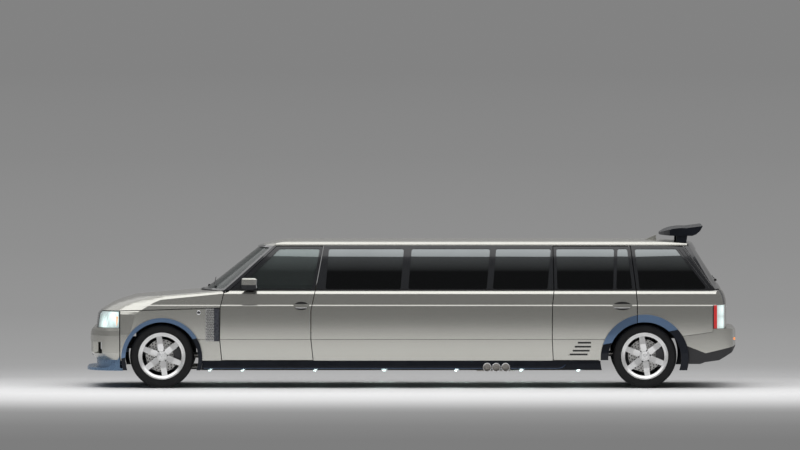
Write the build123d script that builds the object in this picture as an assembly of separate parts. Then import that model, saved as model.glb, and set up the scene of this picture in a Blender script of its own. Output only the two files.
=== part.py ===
"""Stretch limousine on an upright luxury off-roader body, with a wide-arch styling kit.

Millimetres. +X runs rearward, +Y to the car's right and +Z up. The origin is on the ground,
halfway along the car. Left-hand pieces are drawn at -Y and mirrored for the right.
"""
import functools
import math
import os

from build123d import *

# Overall length, from the splitter's lip to the rear bumper
WHEELBASE = 5928
FRONT_OVERHANG = 888
SPLITTER_REACH = 40
REAR_OVERHANG = 1128
LENGTH = SPLITTER_REACH + FRONT_OVERHANG + WHEELBASE + REAR_OVERHANG
X_LIP = -LENGTH / 2
X_NOSE = X_LIP + SPLITTER_REACH
X_TAIL = LENGTH / 2
XF = X_NOSE + FRONT_OVERHANG
XR = XF + WHEELBASE

# Heights of the body's long lines
SKIRT_Z = 221
SILL_Z = 336
CREASE_Z = 600
FEATURE_Z = 1017
SHOULDER_Z = 1138
BELT_Z = 1201
GUTTER_Z = 1745
ROOF_Z = 1812

# Half widths of the skin at those lines
SILL_W = 950
CREASE_W = 962
FEATURE_W = 979
SHOULDER_W = 966
BELT_W = 905
GLASS_W = 897
GUTTER_W = 760
CREASE_STEP = 3
FEATURE_STEP = 4

# Walls, gaps and seats
SKIN = 25
WALL = 100
FRAME = 55
ROOF_WALL = 45
WING_WALL = 40
DOOR_GAP = 10
SHUT_GAP = 4
SEAL_STEP = 15
SEAT_GAP = 0.3
GLASS_DEPTH = 12
GLASS_WALL = 8

# Doors: the leading edges, and the width of the front door at waist height
XD_FRONT = XF + 715
DOOR_WIDTH = 1110
XD_REAR = XR - 1130
DOOR_Z = SILL_Z + DOOR_GAP
DOOR_TOP = GUTTER_Z - DOOR_GAP
HINGE_SETBACK = 78
HINGE_W = 955
HINGE_PIN_R = 4
HINGE_LUG_R = 6
HINGE_DEPTH = 86
HINGE_ARM_T = 12

# Wheels and tyres
TRACK = 1629
TYRE_R = 393.4
TYRE_W = 285
RIM_R = 288
BARREL_R = 258
SPOKES = 6
SPOKE_TURN = 8.5
DISC_R = 200
DISC_T = 32
HUB_OFFSET = 45
SPINDLE_R = 32
ARCH_Z = TYRE_R - 30
ARCH_R = 448
FRONT_FLARE_R = 497
REAR_FLARE_R = 540
FLARE_W = 1012
SKIRT_W = 988
WHEEL_Y = TRACK / 2
TUNNEL_W = 140
TUNNEL_H = 130
FAR = 1300


# Drawing helpers

def region(start, *legs):
    """A closed face: each leg is a point for a line, or (mid point, end point) for an arc."""
    edges = []
    here = start
    for leg in legs + (start,):
        if isinstance(leg[0], tuple):
            edges.append(ThreePointArc(here, leg[0], leg[1]))
            here = leg[1]
        elif leg != here:
            edges.append(Line(here, leg))
            here = leg
    return make_face(edges)


def rounded(points, radius):
    """A closed polygon with rounded corners."""
    return make_face(FilletPolyline(*points, radius=radius, close=True))


def polygon(*points):
    return make_face(Polyline(*points, close=True))


def along_x(face, x0, x1):
    """Extrudes a (y, z) face from x0 to x1."""
    plane = Plane(origin=(x0, 0, 0), x_dir=(0, 1, 0), z_dir=(1, 0, 0))
    return extrude(plane * face, amount=x1 - x0)


def along_y(face, y0, y1):
    """Extrudes an (x, z) face from y0 to y1."""
    plane = Plane(origin=(0, y1, 0), x_dir=(1, 0, 0), z_dir=(0, -1, 0))
    return extrude(plane * face, amount=y1 - y0)


def along_z(face, z0, z1):
    """Extrudes an (x, y) face from z0 to z1."""
    return extrude(Plane.XY.offset(z0) * face, amount=z1 - z0)


def block(x0, x1, y0, y1, z0, z1):
    size = Box(x1 - x0, y1 - y0, z1 - z0)
    return Pos((x0 + x1) / 2, (y0 + y1) / 2, (z0 + z1) / 2) * size


def left(x0, x1, w0, w1, z0, z1):
    """A block on the left side, given by its distances from the centre plane."""
    return block(x0, x1, -w1, -w0, z0, z1)


def rod_y(x, z, radius, y0, y1):
    return along_y(Pos(x, z) * Circle(radius), y0, y1)


def rod_between(a, b, radius):
    start, end = Vector(*a), Vector(*b)
    plane = Plane(origin=start, z_dir=end - start)
    return extrude(plane * Circle(radius), amount=(end - start).length)


def flip(shape):
    return mirror(shape, about=Plane.XZ)


def together(*shapes):
    """Separate solids in one node."""
    return Compound([solid for shape in shapes for solid in shape.solids()])


def pair(shape):
    return together(shape, flip(shape))


def shifted(points, dx, dz=0):
    return [(x + dx, z + dz) for x, z in points]


# Body sections: distance from the centre plane against height

def lower_path(depth):
    """The side skin from sill to belt, as legs for region(); plain lines inside the skin."""
    if depth:
        widths = ((SILL_W, SILL_Z), (CREASE_W, CREASE_Z), (FEATURE_W, FEATURE_Z),
                  (SHOULDER_W, SHOULDER_Z), (BELT_W, BELT_Z))
        return [(-(w - depth), z) for w, z in widths]
    middle = (CREASE_Z + FEATURE_Z) / 2
    return [
        (-SILL_W, SILL_Z),
        (-(CREASE_W - CREASE_STEP), CREASE_Z - CREASE_STEP),
        (-(CREASE_W + CREASE_STEP), CREASE_Z + CREASE_STEP),
        ((-(CREASE_W + FEATURE_W) / 2 - 3, middle), (-FEATURE_W, FEATURE_Z - 7)),
        (-(FEATURE_W + FEATURE_STEP), FEATURE_Z),
        (-(FEATURE_W - 2), FEATURE_Z + 7),
        (-SHOULDER_W, SHOULDER_Z),
        ((-(SHOULDER_W - 16), BELT_Z - 21), (-BELT_W, BELT_Z)),
    ]


def upper_path(depth):
    """The glasshouse skin from belt to gutter."""
    middle = (-(GLASS_W + GUTTER_W) / 2 - 14 + depth, (BELT_Z + GUTTER_Z) / 2)
    return [(-(GLASS_W - depth), BELT_Z), (middle, (-(GUTTER_W - depth), GUTTER_Z))]


def backwards(path):
    """The same legs, run from the last point to the first."""
    ends = [leg[1] if isinstance(leg[0], tuple) else leg for leg in path]
    legs = [ends[-1]]
    for i in range(len(path) - 1, 0, -1):
        arc = isinstance(path[i][0], tuple)
        legs.append((path[i][0], ends[i - 1]) if arc else ends[i - 1])
    return legs


def wall_face(path, outer, inner):
    legs = path(outer) + backwards(path(inner))
    return region(legs[0], *legs[1:])


def side_walls(x0, x1, lower=(0, WALL), upper=(0, FRAME)):
    """The left side wall between two stations, from sill to gutter."""
    low = along_x(wall_face(lower_path, *lower), x0, x1)
    high = along_x(wall_face(upper_path, *upper), x0, x1)
    return low + high


def lower_section(depth, bottom=SILL_Z, top=BELT_Z):
    """The whole body section below the belt, inset at the sides."""
    path = lower_path(depth)
    mirrored = []
    for leg in backwards(path):
        arc = isinstance(leg[0], tuple)
        mirrored.append(((-leg[0][0], leg[0][1]), (-leg[1][0], leg[1][1])) if arc else (-leg[0], leg[1]))
    face = region(path[0], *path[1:], *mirrored)
    return face & (Pos(0, (bottom + top) / 2) * Rectangle(3000, top - bottom))


def upper_section(depth, roof_depth):
    """The whole glasshouse section, inset at the sides and under the roof."""
    sides = upper_path(depth)
    gutter_w, gutter_z = GUTTER_W - depth, GUTTER_Z
    edge_w = GUTTER_W - 70 - depth
    edge_z = ROOF_Z - 19 - roof_depth
    top = ROOF_Z - roof_depth
    corner = (gutter_w - 14, (gutter_z + edge_z) / 2 + 10)
    return region(
        sides[0], *sides[1:],
        ((-corner[0], corner[1]), (-edge_w, edge_z)),
        ((0, top), (edge_w, edge_z)),
        ((corner[0], corner[1]), (gutter_w, gutter_z)),
        ((-sides[1][0][0], sides[1][0][1]), (GLASS_W - depth, BELT_Z)),
    )


# Glasshouse: windscreen and tailgate glass lie on raked cylinders

SCREEN_X = XF + 507
SCREEN_SLOPE = 1.2646
SCREEN_R = 1700
TAIL_GLASS_X = XR + 959
TAIL_SLOPE = -0.634
TAIL_GLASS_R = 4200


def sag(radius, half_width):
    return radius - math.sqrt(radius ** 2 - half_width ** 2)


def raked_front(depth):
    """Everything behind the windscreen's outer surface, moved in by depth."""
    x = SCREEN_X + depth * math.hypot(1, SCREEN_SLOPE)
    side = x + sag(SCREEN_R, 1100)
    plan = region((side, -1100), ((x, 0), (side, 1100)), (X_TAIL + 200, 1100), (X_TAIL + 200, -1100))
    rise = ROOF_Z + 60 - BELT_Z
    lift = Vector(SCREEN_SLOPE, 0, 1) * rise
    return extrude(Plane.XY.offset(BELT_Z) * plan, amount=lift.length, dir=lift.normalized())


def raked_tail(depth):
    """Everything ahead of the tailgate's outer surface, moved in by depth."""
    x = TAIL_GLASS_X - depth * math.hypot(1, TAIL_SLOPE)
    side = x - sag(TAIL_GLASS_R, 1100)
    plan = region((side, -1100), ((x, 0), (side, 1100)), (XF - 1500, 1100), (XF - 1500, -1100))
    rise = ROOF_Z + 60 - BELT_Z
    lift = Vector(TAIL_SLOPE, 0, 1) * rise
    return extrude(Plane.XY.offset(BELT_Z) * plan, amount=lift.length, dir=lift.normalized())


def roof_profile(depth):
    """The roof line seen from the side, moved down by depth."""
    z = ROOF_Z - depth
    return along_y(region(
        (XF + 450, BELT_Z - 10), (XF + 450, z - 140), (XF + 1120, z - 96),
        ((XF + 1560, z - 13), (XF + 2400, z + 0.5)),
        (XR - 700, z + 0.5),
        ((XR - 60, z - 9), (XR + 620, z - 48)),
        (XR + 1200, z - 100), (XR + 1200, BELT_Z - 10),
    ), -FAR, FAR)


@functools.lru_cache(maxsize=None)
def glasshouse(side, roof, screen, tail):
    """The closed form above the belt, inset by the four wall depths."""
    tube = along_x(upper_section(side, roof), XF + 400, XR + 1100)
    return tube & raked_front(screen) & raked_tail(tail) & roof_profile(roof)


# Shut lines seen from the side, as (x, z) points from the bottom up

WING_TOP = 990
FRONT_DOOR_FRONT = [(XD_FRONT + 25, DOOR_Z), (XD_FRONT, CREASE_Z), (XD_FRONT + 6, WING_TOP),
                    (XD_FRONT + 50, 1166), (XD_FRONT + 105, 1183), (XD_FRONT + 694, DOOR_TOP)]
XD_FRONT_END = XD_FRONT + DOOR_WIDTH
FRONT_DOOR_REAR = [(XD_FRONT_END + 27, DOOR_Z), (XD_FRONT_END, 600), (XD_FRONT_END, 950),
                   (XD_FRONT_END + 54, BELT_Z), (XD_FRONT_END + 154, DOOR_TOP)]
REAR_DOOR_FRONT = [(XD_REAR + 13, DOOR_Z), (XD_REAR, 600), (XD_REAR + 2, 1000),
                   (XD_REAR + 22, BELT_Z), (XD_REAR + 10, DOOR_TOP)]
REAR_DOOR_REAR = [(XR - 96, DOOR_Z), (XR - 96, 1040), (XR - 108, BELT_Z), (XR - 176, DOOR_TOP)]
TAILGATE_SHUT = [(XR + 865, BELT_Z + 11), (XR + 491, GUTTER_Z - DOOR_GAP),
                 (XR + 540, GUTTER_Z - DOOR_GAP), (XR + 540, ROOF_Z + 40)]
BONNET_SHUT = [(XF - 728, 946), (XD_FRONT - DOOR_GAP + 6, WING_TOP)]

# Windows seen from the side
FRONT_DOOR_GLASS = [(XD_FRONT + 215, 1216), (XD_FRONT + 735, 1708),
                    (XD_FRONT_END + 115, 1708), (XD_FRONT_END + 20, 1216)]
REAR_DOOR_GLASS = [(XD_REAR + 58, 1216), (XD_REAR + 46, 1708), (XR - 374, 1708), (XR - 385, 1216)]
REAR_QUARTER_LIGHT = [(XR - 348, 1216), (XR - 332, 1708), (XR - 214, 1708), (XR - 150, 1216)]
QUARTER_GLASS = [(XR - 62, 1216), (XR - 120, 1706), (XR + 386, 1706), (XR + 769, 1216)]
GLASS_CORNER = 22
PILLAR_LEAN = 42

# Stretch windows: front and rear of each at the sill of the glass, as shares of the stretch
STRETCH_WINDOWS = [(0.062, 0.372), (0.404, 0.728), (0.753, 0.979)]


def stretch_glass():
    x0, span = XD_FRONT_END, XD_REAR - XD_FRONT_END
    outlines = []
    for front, rear in STRETCH_WINDOWS:
        a, b = x0 + front * span, x0 + rear * span
        outlines.append([(a, 1216), (a + PILLAR_LEAN, 1708), (b + PILLAR_LEAN, 1708), (b, 1216)])
    return outlines


def hole(points):
    """A window hole through the left side."""
    return along_y(rounded(points, GLASS_CORNER), -FAR, -300)


def pane(points, skin_path=upper_path):
    """A pane on the left side that seats in its hole."""
    sheet = along_x(wall_face(skin_path, GLASS_DEPTH, GLASS_DEPTH + GLASS_WALL),
                    min(x for x, z in points) - 20, max(x for x, z in points) + 20)
    outline = offset(rounded(points, GLASS_CORNER), amount=-SEAT_GAP)
    return sheet & along_y(outline, -FAR, -300)


# Doors

def door_outline(front, rear):
    return front + rear[::-1]


def door_solid(front, rear, windows, x0, x1):
    """A side door: outer skin to the shut line, and an inner part stepped in for its seal."""
    outline = door_outline(front, rear)
    skin = side_walls(x0, x1, (0, SKIN), (0, SKIN)) & along_y(polygon(*outline), -FAR, -300)
    inset = offset(polygon(*outline), amount=-SEAL_STEP, kind=Kind.INTERSECTION)
    inner = side_walls(x0, x1, (SKIN, WALL), (SKIN, FRAME)) & along_y(inset, -FAR, -300)
    door = skin + inner
    for points in windows:
        door -= hole(points)
    return door


HINGES = [(690, 730), (930, 970)]


def hinge_rooms(x_edge):
    """Room in the door's front edge, behind its skin, for the hinge arms."""
    x_pin = x_edge + HINGE_SETBACK
    w = HINGE_W + HINGE_LUG_R + 1.5
    return [left(x_edge - 30, x_pin + 26, HINGE_W - 130, w, z0 - 8, z1 + 8) for z0, z1 in HINGES]


def hinge_barrels(x_edge):
    """The door's half of each hinge: a barrel behind the skin, with a bore for the pin."""
    x_pin = x_edge + HINGE_SETBACK
    parts = []
    for z0, z1 in HINGES:
        barrel = Pos(x_pin, -HINGE_W, 0) * along_z(Circle(HINGE_PIN_R + 5), z0, z1)
        web = left(x_pin, x_pin + 30, HINGE_W - 8, HINGE_W + 8, z0, z1)
        bore = Pos(x_pin, -HINGE_W, 0) * along_z(Circle(HINGE_PIN_R + SEAT_GAP), z0 - 1, z1 + 1)
        parts.append(barrel + web - bore)
    return parts


def hinge_arms(x_edge):
    """The body's half: a pin and two cranked arms that reach round behind the door's edge."""
    x_pin = x_edge + HINGE_SETBACK
    w = HINGE_W - HINGE_DEPTH
    arms = []
    for z0, z1 in HINGES:
        arm = Pos(x_pin, -HINGE_W, 0) * along_z(Circle(HINGE_PIN_R), z0 - 6, z1 + 6)
        for za, zb in ((z0 - 6, z0 - 0.5), (z1 + 0.5, z1 + 6)):
            eye = Pos(x_pin, -HINGE_W, 0) * along_z(Circle(HINGE_LUG_R), za, zb)
            crank = left(x_pin - HINGE_LUG_R, x_pin + HINGE_LUG_R, w, HINGE_W, za, zb)
            reach = left(x_edge - DOOR_GAP - 12, x_pin + HINGE_LUG_R, w, w + HINGE_ARM_T, za, zb)
            arm = arm + eye + crank + reach
        arms.append(arm)
    return arms


def handle_scoop(x0, x1):
    """The oval recess behind a handle."""
    oval = Pos((x0 + x1) / 2, FEATURE_Z - 6) * Ellipse((x1 - x0) / 2 - 12, 52)
    return along_y(oval, -FAR, -(FEATURE_W - 16))


def door_handle(x0, x1):
    """A bow handle over its recess, at the feature line."""
    z = FEATURE_Z - 3
    middle = (x0 + x1) / 2
    return along_z(region(
        (x0, -(FEATURE_W - 6)), ((middle, -(FEATURE_W + 44)), (x1, -(FEATURE_W - 6))),
        (x1 - 30, -(FEATURE_W - 6)), ((middle, -(FEATURE_W + 20)), (x0 + 30, -(FEATURE_W - 6))),
    ), z - 22, z + 22)


def arch_cut(x, radius, w0, w1):
    return rod_y(x, ARCH_Z, radius, -w1, -w0)


def flare_ring(x, radius):
    """A wheel-arch flare: a band round the arch that stands out past the skin."""
    band = rod_y(x, ARCH_Z, radius, -FLARE_W, -(SILL_W - 20)) - rod_y(x, ARCH_Z, ARCH_R, -FAR, -300)
    band &= block(x - FAR, x + FAR, -FAR, 0, SKIRT_Z, 1200)
    profile = along_x(region(
        (-(SILL_W - 20), SKIRT_Z), (-(FLARE_W - 22), SKIRT_Z), (-FLARE_W, 430),
        ((-FLARE_W + 2, 700), (-(FEATURE_W + 14), 905)), (-(SILL_W - 20), 935),
    ), x - FAR, x + FAR)
    return band & profile


def front_door():
    door = door_solid(FRONT_DOOR_FRONT, FRONT_DOOR_REAR, [FRONT_DOOR_GLASS],
                      XD_FRONT - 5, XD_FRONT_END + 160)
    for room in hinge_rooms(XD_FRONT):
        door -= room
    for barrel in hinge_barrels(XD_FRONT):
        door += barrel
    x0, x1 = XD_FRONT_END - 215, XD_FRONT_END - 10
    return door - handle_scoop(x0, x1) + door_handle(x0, x1)


# Air slots ahead of the rear flare: front, rear, height
LOUVRES = [(XR - 821, XR - 659, 559), (XR - 859, XR - 659, 510), (XR - 884, XR - 677, 461),
           (XR - 940, XR - 702, 415)]
LOUVRE_H = 22


def rear_door():
    door = door_solid(REAR_DOOR_FRONT, REAR_DOOR_REAR, [REAR_DOOR_GLASS, REAR_QUARTER_LIGHT],
                      XD_REAR - 5, XR - 90)
    for room in hinge_rooms(XD_REAR):
        door -= room
    for barrel in hinge_barrels(XD_REAR):
        door += barrel
    flare = flare_ring(XR, REAR_FLARE_R) & block(XR - 700, XR - 96, -FAR, 0, DOOR_Z, 1000)
    door = door - arch_cut(XR, ARCH_R, 300, FAR) - arch_cut(XR, REAR_FLARE_R - 8, 300, SILL_W - 19.9)
    for x0, x1, z in LOUVRES:
        door -= left(x0, x1, SILL_W - 12, FAR, z - LOUVRE_H / 2, z + LOUVRE_H / 2)
    x0, x1 = XR - 405, XR - 145
    return door + flare - handle_scoop(x0, x1) + door_handle(x0, x1)


# Fixed side panels

def behind(edge, gap):
    """The region behind a shut line, with a gap to it."""
    points = shifted(edge, gap)
    low = (points[0][0], -100)
    high = (points[-1][0], 2200)
    return along_y(polygon(low, *points, high, (X_TAIL + 800, 2200), (X_TAIL + 800, -100)), -FAR, 0)


def ahead(edge, gap):
    """The region ahead of a shut line, with a gap to it."""
    points = shifted(edge, -gap)
    low = (points[0][0], -100)
    high = (points[-1][0], 2200)
    return along_y(polygon(low, *points, high, (X_LIP - 800, 2200), (X_LIP - 800, -100)), -FAR, 0)


def stretch_wall():
    wall = side_walls(XD_FRONT_END - 20, XD_REAR + 40)
    wall = wall & behind(FRONT_DOOR_REAR, DOOR_GAP) & ahead(REAR_DOOR_FRONT, DOOR_GAP)
    for points in stretch_glass():
        wall -= hole(points)
    for arm in hinge_arms(XD_REAR):
        wall += arm
    return wall


TAIL_FACE_X = XR + 1015
TAIL_CORNER = 170
TAILGATE_W = 690
REAR_BUMPER_TOP = 729
LAMP_X0 = XR + 834
LAMP_Z1 = 1021
BUMPER_LINE = [(XR + 300, 640), (XR + 500, 640), (LAMP_X0, 688)]
UNDER_LINE = [(XR + 300, 610), (XR + 548, 508), (XR + 748, 430), (X_TAIL, 520)]


def tail_plan(depth):
    """The tail seen from above, moved in by depth."""
    plan = rounded([(XR - 600, -1000), (TAIL_FACE_X - 60, -1000), (TAIL_FACE_X, -500), (TAIL_FACE_X, 500),
                    (TAIL_FACE_X - 60, 1000), (XR - 600, 1000)],
                   [0, TAIL_CORNER, 900, 900, TAIL_CORNER, 0])
    if depth:
        plan = offset(plan, amount=-depth, kind=Kind.INTERSECTION)
    return plan


TAIL_LINE = [(0, SILL_Z - 60), (0, LAMP_Z1), (-8, 1080), (-26, 1142), (-56, BELT_Z), (-84, BELT_Z + 40)]


@functools.lru_cache(maxsize=None)
def tail_body(depth):
    """The closed rear body below the belt."""
    tube = along_x(lower_section(depth), XR - 290, TAIL_FACE_X + 20)
    return tube & leaning(tail_plan(depth), TAIL_LINE)


def quarter_panel():
    lower = tail_body(0) - tail_body(WALL)
    lower &= block(XR - 290, TAIL_FACE_X + 10, -FAR, -TAILGATE_W - SHUT_GAP, SILL_Z, BELT_Z)
    lower -= arch_cut(XR, REAR_FLARE_R + SEAT_GAP, 300, FAR)
    lower -= along_y(polygon((XR + 300, 0), *shifted(BUMPER_LINE, 0, SHUT_GAP),
                             (LAMP_X0, LAMP_Z1), (X_TAIL, LAMP_Z1), (X_TAIL, 0)), -FAR, -300)
    upper = glasshouse(0, ROOF_WALL, 0, 0) - glasshouse(FRAME, ROOF_WALL, 60, FRAME)
    upper &= block(XR - 290, X_TAIL, -FAR, -300, BELT_Z, GUTTER_Z)
    shut = shifted(TAILGATE_SHUT, -DOOR_GAP)
    upper &= along_y(polygon((XR - 400, BELT_Z - 5), (shut[0][0] + 8, BELT_Z - 5), *shut[:2],
                             (shut[1][0], GUTTER_Z + 5), (XR - 400, GUTTER_Z + 5)), -FAR, 0)
    panel = (lower + upper) & behind(REAR_DOOR_REAR, DOOR_GAP)
    return panel - hole(QUARTER_GLASS)


# Front of the body

BONNET_SLOPE = 0.0813
NOSE_FACE_X = X_NOSE + 75
BUMPER_TOP = 735
WING_FRONT_X = XF - 511
CARRIER_X0 = XF - 523
CARRIER_T = 30


def nose_plan(face_x, depth):
    """The nose seen from above, moved in by depth."""
    plan = rounded([(XF + 1100, -1000), (XF - 330, -1000), (face_x + 190, -865), (face_x, -560),
                    (face_x, 560), (face_x + 190, 865), (XF - 330, 1000), (XF + 1100, 1000)],
                   [0, 900, 230, 700, 700, 230, 900, 0])
    if depth:
        plan = offset(plan, amount=-depth, kind=Kind.INTERSECTION)
    return plan


def leaning(plan, stations):
    """Stacks one plan through (x shift, height) stations."""
    steps = []
    for (dx0, z0), (dx1, z1) in zip(stations, stations[1:]):
        lean = Vector(dx1 - dx0, 0, z1 - z0)
        steps.append(extrude(Pos(dx0, 0, z0) * plan, amount=lean.length, dir=lean.normalized()))
    return steps[0] + steps[1:]


def bonnet_tube(depth):
    """Bonnet crown and shoulders, falling forward at the bonnet's slope."""
    crown = BELT_Z + 6 - depth
    belt_w, belt_z = BELT_W - depth, BELT_Z - 6 - depth
    bend_w, bend_z = SHOULDER_W - 16 - depth, BELT_Z - 27 - depth
    edge_w, edge_z = SHOULDER_W + 12 - depth, SHOULDER_Z - 36 - depth
    section = region(
        (-FAR, 0), (-FAR, edge_z), (-edge_w, edge_z), ((-bend_w, bend_z), (-belt_w, belt_z)),
        ((0, crown), (belt_w, belt_z)), ((bend_w, bend_z), (edge_w, edge_z)), (FAR, edge_z), (FAR, 0))
    back = Vector(1, 0, BONNET_SLOPE)
    x0 = XD_FRONT + 120
    plane = Plane(origin=(x0, 0, BONNET_SLOPE * 120), x_dir=(0, 1, 0), z_dir=(1, 0, 0))
    return extrude(plane * section, amount=back.length * 2000, dir=-back.normalized())


NOSE_LINE = [(-20, 300), (-20, 655), (14, 905), (42, 936), (93, 968), (160, 1010), (240, 1048),
             (330, 1080), (424, 1108), (700, 1185), (1100, 1290)]


def wing_section(depth):
    """The wings' section: the doors' skin, carried straight up past the shoulder."""
    path = [leg for leg in lower_path(depth)[:-1]]
    top = BELT_Z + 60
    right = [((-leg[0][0], leg[0][1]), (-leg[1][0], leg[1][1])) if isinstance(leg[0], tuple)
             else (-leg[0], leg[1]) for leg in backwards(path)]
    head = SHOULDER_W - 12 - depth
    return region(path[0], *path[1:], (-head, top), (head, top), *right)


@functools.lru_cache(maxsize=None)
def front_body(depth):
    """The closed front body, from the nose to behind the scuttle."""
    tube = along_x(wing_section(depth), X_NOSE - 100, XD_FRONT + 110)
    line = [(dx, z if z < 906 else z - depth) for dx, z in NOSE_LINE]
    return tube & leaning(nose_plan(NOSE_FACE_X, depth), line) & bonnet_tube(depth)


@functools.lru_cache(maxsize=None)
def front_shell(wall):
    return front_body(0) - front_body(wall)


def bonnet_region(gap):
    """Above the bonnet's shut line and ahead of the scuttle."""
    (xa, za), (xb, zb) = BONNET_SHUT
    top = [(XD_FRONT + 50 - gap, 1166), (XD_FRONT + 50 - gap, 1400)]
    side = along_y(polygon((X_LIP - 100, za), (xa, za), (xb, zb), *top, (X_LIP - 100, 1400)), -FAR, FAR)
    edge = SCREEN_X - 45
    x_side = edge + sag(SCREEN_R, 1100)
    plan = along_z(region((x_side, -1100), ((edge, 0), (x_side, 1100)),
                          (X_LIP - 100, 1100), (X_LIP - 100, -1100)), 0, 1500)
    return side & plan


BONNET_WALL = 35
BONNET_HINGE = (XD_FRONT + 22, 1186)
BONNET_HINGE_W = 860
BONNET_LUG_T = 18
BONNET_PIN_R = 5
SCUTTLE_Z = 1090


def bonnet():
    lid = front_shell(BONNET_WALL) & bonnet_region(DOOR_GAP)
    x, z = BONNET_HINGE
    for side in (-1, 1):
        y0, y1 = side * BONNET_HINGE_W - BONNET_LUG_T / 2, side * BONNET_HINGE_W + BONNET_LUG_T / 2
        lug = rod_y(x, z, BONNET_PIN_R + 4, y0, y1) + block(x - 130, x, y0, y1, z - 14, z - 2)
        lid = lid + (lug - rod_y(x, z, BONNET_PIN_R + SEAT_GAP, y0 - 1, y1 + 1))
    return lid


def front_wing():
    skin = front_shell(WING_WALL)
    za, zb = BONNET_SHUT[0][1], BONNET_SHUT[1][1]
    outline = polygon((WING_FRONT_X, 300), (WING_FRONT_X, za - DOOR_GAP + 7),
                      (XD_FRONT - DOOR_GAP + 3, zb - DOOR_GAP), (XD_FRONT - DOOR_GAP, 600),
                      (XD_FRONT - DOOR_GAP + 25, SILL_Z), (XD_FRONT - DOOR_GAP + 25, 300))
    wing = skin & along_y(outline, -FAR, -300)
    wing -= arch_cut(XF, FRONT_FLARE_R + SEAT_GAP, 300, FAR)
    wing -= left(XD_FRONT - 180, XD_FRONT - DOOR_GAP + 1, 930, FAR, 575, 979)
    return wing


def wing_vent():
    """A mesh panel let into the wing behind the wheel, beside a plain strip."""
    x0, x1 = XD_FRONT - 180 + 1, XD_FRONT - DOOR_GAP
    panel = along_x(wall_face(lower_path, 4, 40), x0, x1) & left(x0, x1, 930.3, FAR, 576, 978)
    slots = []
    for row in range(18):
        z = 590 + row * 21
        for column in range(4):
            x = x0 + 12 + column * 24 + (12 if row % 2 else 0)
            slots.append(left(x, x + 13, 940, FAR, z, z + 13))
    for slot in slots:
        panel -= slot
    return panel


LAMP_W0 = 560
LAMP_TOP = 940


def headlamp():
    return front_body(0) & left(X_LIP, CARRIER_X0, LAMP_W0, FAR, BUMPER_TOP, LAMP_TOP)


def radiator_grille():
    """An upright frame with six cross slats, on the bumper's top shelf."""
    frame = front_shell(60) & block(X_LIP, CARRIER_X0 - 120, -LAMP_W0 + 3, LAMP_W0 - 3, BUMPER_TOP, LAMP_TOP)
    mouth = block(X_LIP, CARRIER_X0, -LAMP_W0 + 25, LAMP_W0 - 25, BUMPER_TOP + 20, LAMP_TOP - 22)
    slats = []
    pitch = (LAMP_TOP - BUMPER_TOP - 42) / 6
    for i in range(6):
        z = BUMPER_TOP + 20 + (i + 0.5) * pitch
        slats.append(block(X_LIP, CARRIER_X0, -LAMP_W0 + 20, LAMP_W0 - 20, z - 6, z + 6))
    bars = frame & (slats[0] + slats[1:])
    return frame - mouth + bars


def front_bumper():
    def form(depth, top):
        line = [(72, SILL_Z + 9), (0, 432), (0, 640), (8, 700), (36, top)]
        tube = along_x(lower_section(depth, SILL_Z, 800), X_NOSE - 100, CARRIER_X0)
        return tube & leaning(nose_plan(X_NOSE, depth), line)

    shell = form(0, BUMPER_TOP) - (form(60, BUMPER_TOP - 30))
    shell &= block(X_LIP, WING_FRONT_X - SHUT_GAP, -FAR, FAR, SILL_Z + 9, BUMPER_TOP)
    shell -= block(X_LIP, X_NOSE + 300, -470, 470, 392, 560)
    for side in (-1, 1):
        shell -= block(X_LIP, X_NOSE + 300, side * 690 - 110, side * 690 + 110, 420, 560)
    return shell


def lower_grille():
    bars = []
    for i in range(5):
        z = 405 + i * 34
        bars.append(block(X_NOSE + 25, X_NOSE + 50, -470, 470, z - 5, z + 5))
    for i in range(9):
        y = -440 + i * 110
        bars.append(block(X_NOSE + 30, X_NOSE + 55, y - 4, y + 4, 392, 560))
    return bars[0] + bars[1:]


def front_splitter():
    """A flat blade under the bumper with an upswept fin at each end."""
    lip = along_z(nose_plan(X_LIP, 0), 214, 246)
    lip &= block(X_LIP - 10, WING_FRONT_X + 40, -(SILL_W + 10), SILL_W + 10, 200, 260)
    riser = along_z(nose_plan(X_NOSE + 72, 4), 246, SILL_Z + 9) \
        - along_z(nose_plan(X_NOSE + 72, 84), 240, 400)
    riser &= block(X_LIP, WING_FRONT_X - 5, -(SILL_W - 20), SILL_W - 20, 246, SILL_Z + 9)
    fin = along_y(region(
        (XF - 790, 246), ((XF - 640, 268), (WING_FRONT_X - 10, 385)), (WING_FRONT_X - 4, 330),
        (WING_FRONT_X - 4, 246)), -FAR, -600)
    fin &= along_z(nose_plan(X_LIP, 0) - nose_plan(X_LIP, 14), 246, 400)
    splitter = lip + riser + fin + flip(fin)
    return splitter - arch_cut(XF, FRONT_FLARE_R + SHUT_GAP, -FAR, FAR)


BULKHEAD_X = XD_FRONT - 70
BULKHEAD_T = 35
SOCKET_R = 11
SOCKET_LENGTH = 90
SOCKET_PLACE = (-620, 450)


def bulkhead():
    """The wall behind the engine, with the posts and hinge arms of the front doors."""
    rear = BULKHEAD_X + BULKHEAD_T
    wall = front_body(WING_WALL) & block(BULKHEAD_X, rear, -FAR, FAR, SILL_Z, SCUTTLE_Z - SEAT_GAP)
    wall -= block(BULKHEAD_X - 1, rear + 1, -TUNNEL_W + 30, TUNNEL_W - 30, 0, SILL_Z + TUNNEL_H - 30)
    post = along_x(wall_face(lower_path, WING_WALL, WALL), BULKHEAD_X, XD_FRONT - DOOR_GAP)
    post &= left(BULKHEAD_X, XD_FRONT, 0, FAR, SILL_Z, 1000)
    wall = wall + post + flip(post)
    for arm in hinge_arms(XD_FRONT):
        wall = wall + arm + flip(arm)
    return wall


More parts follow.
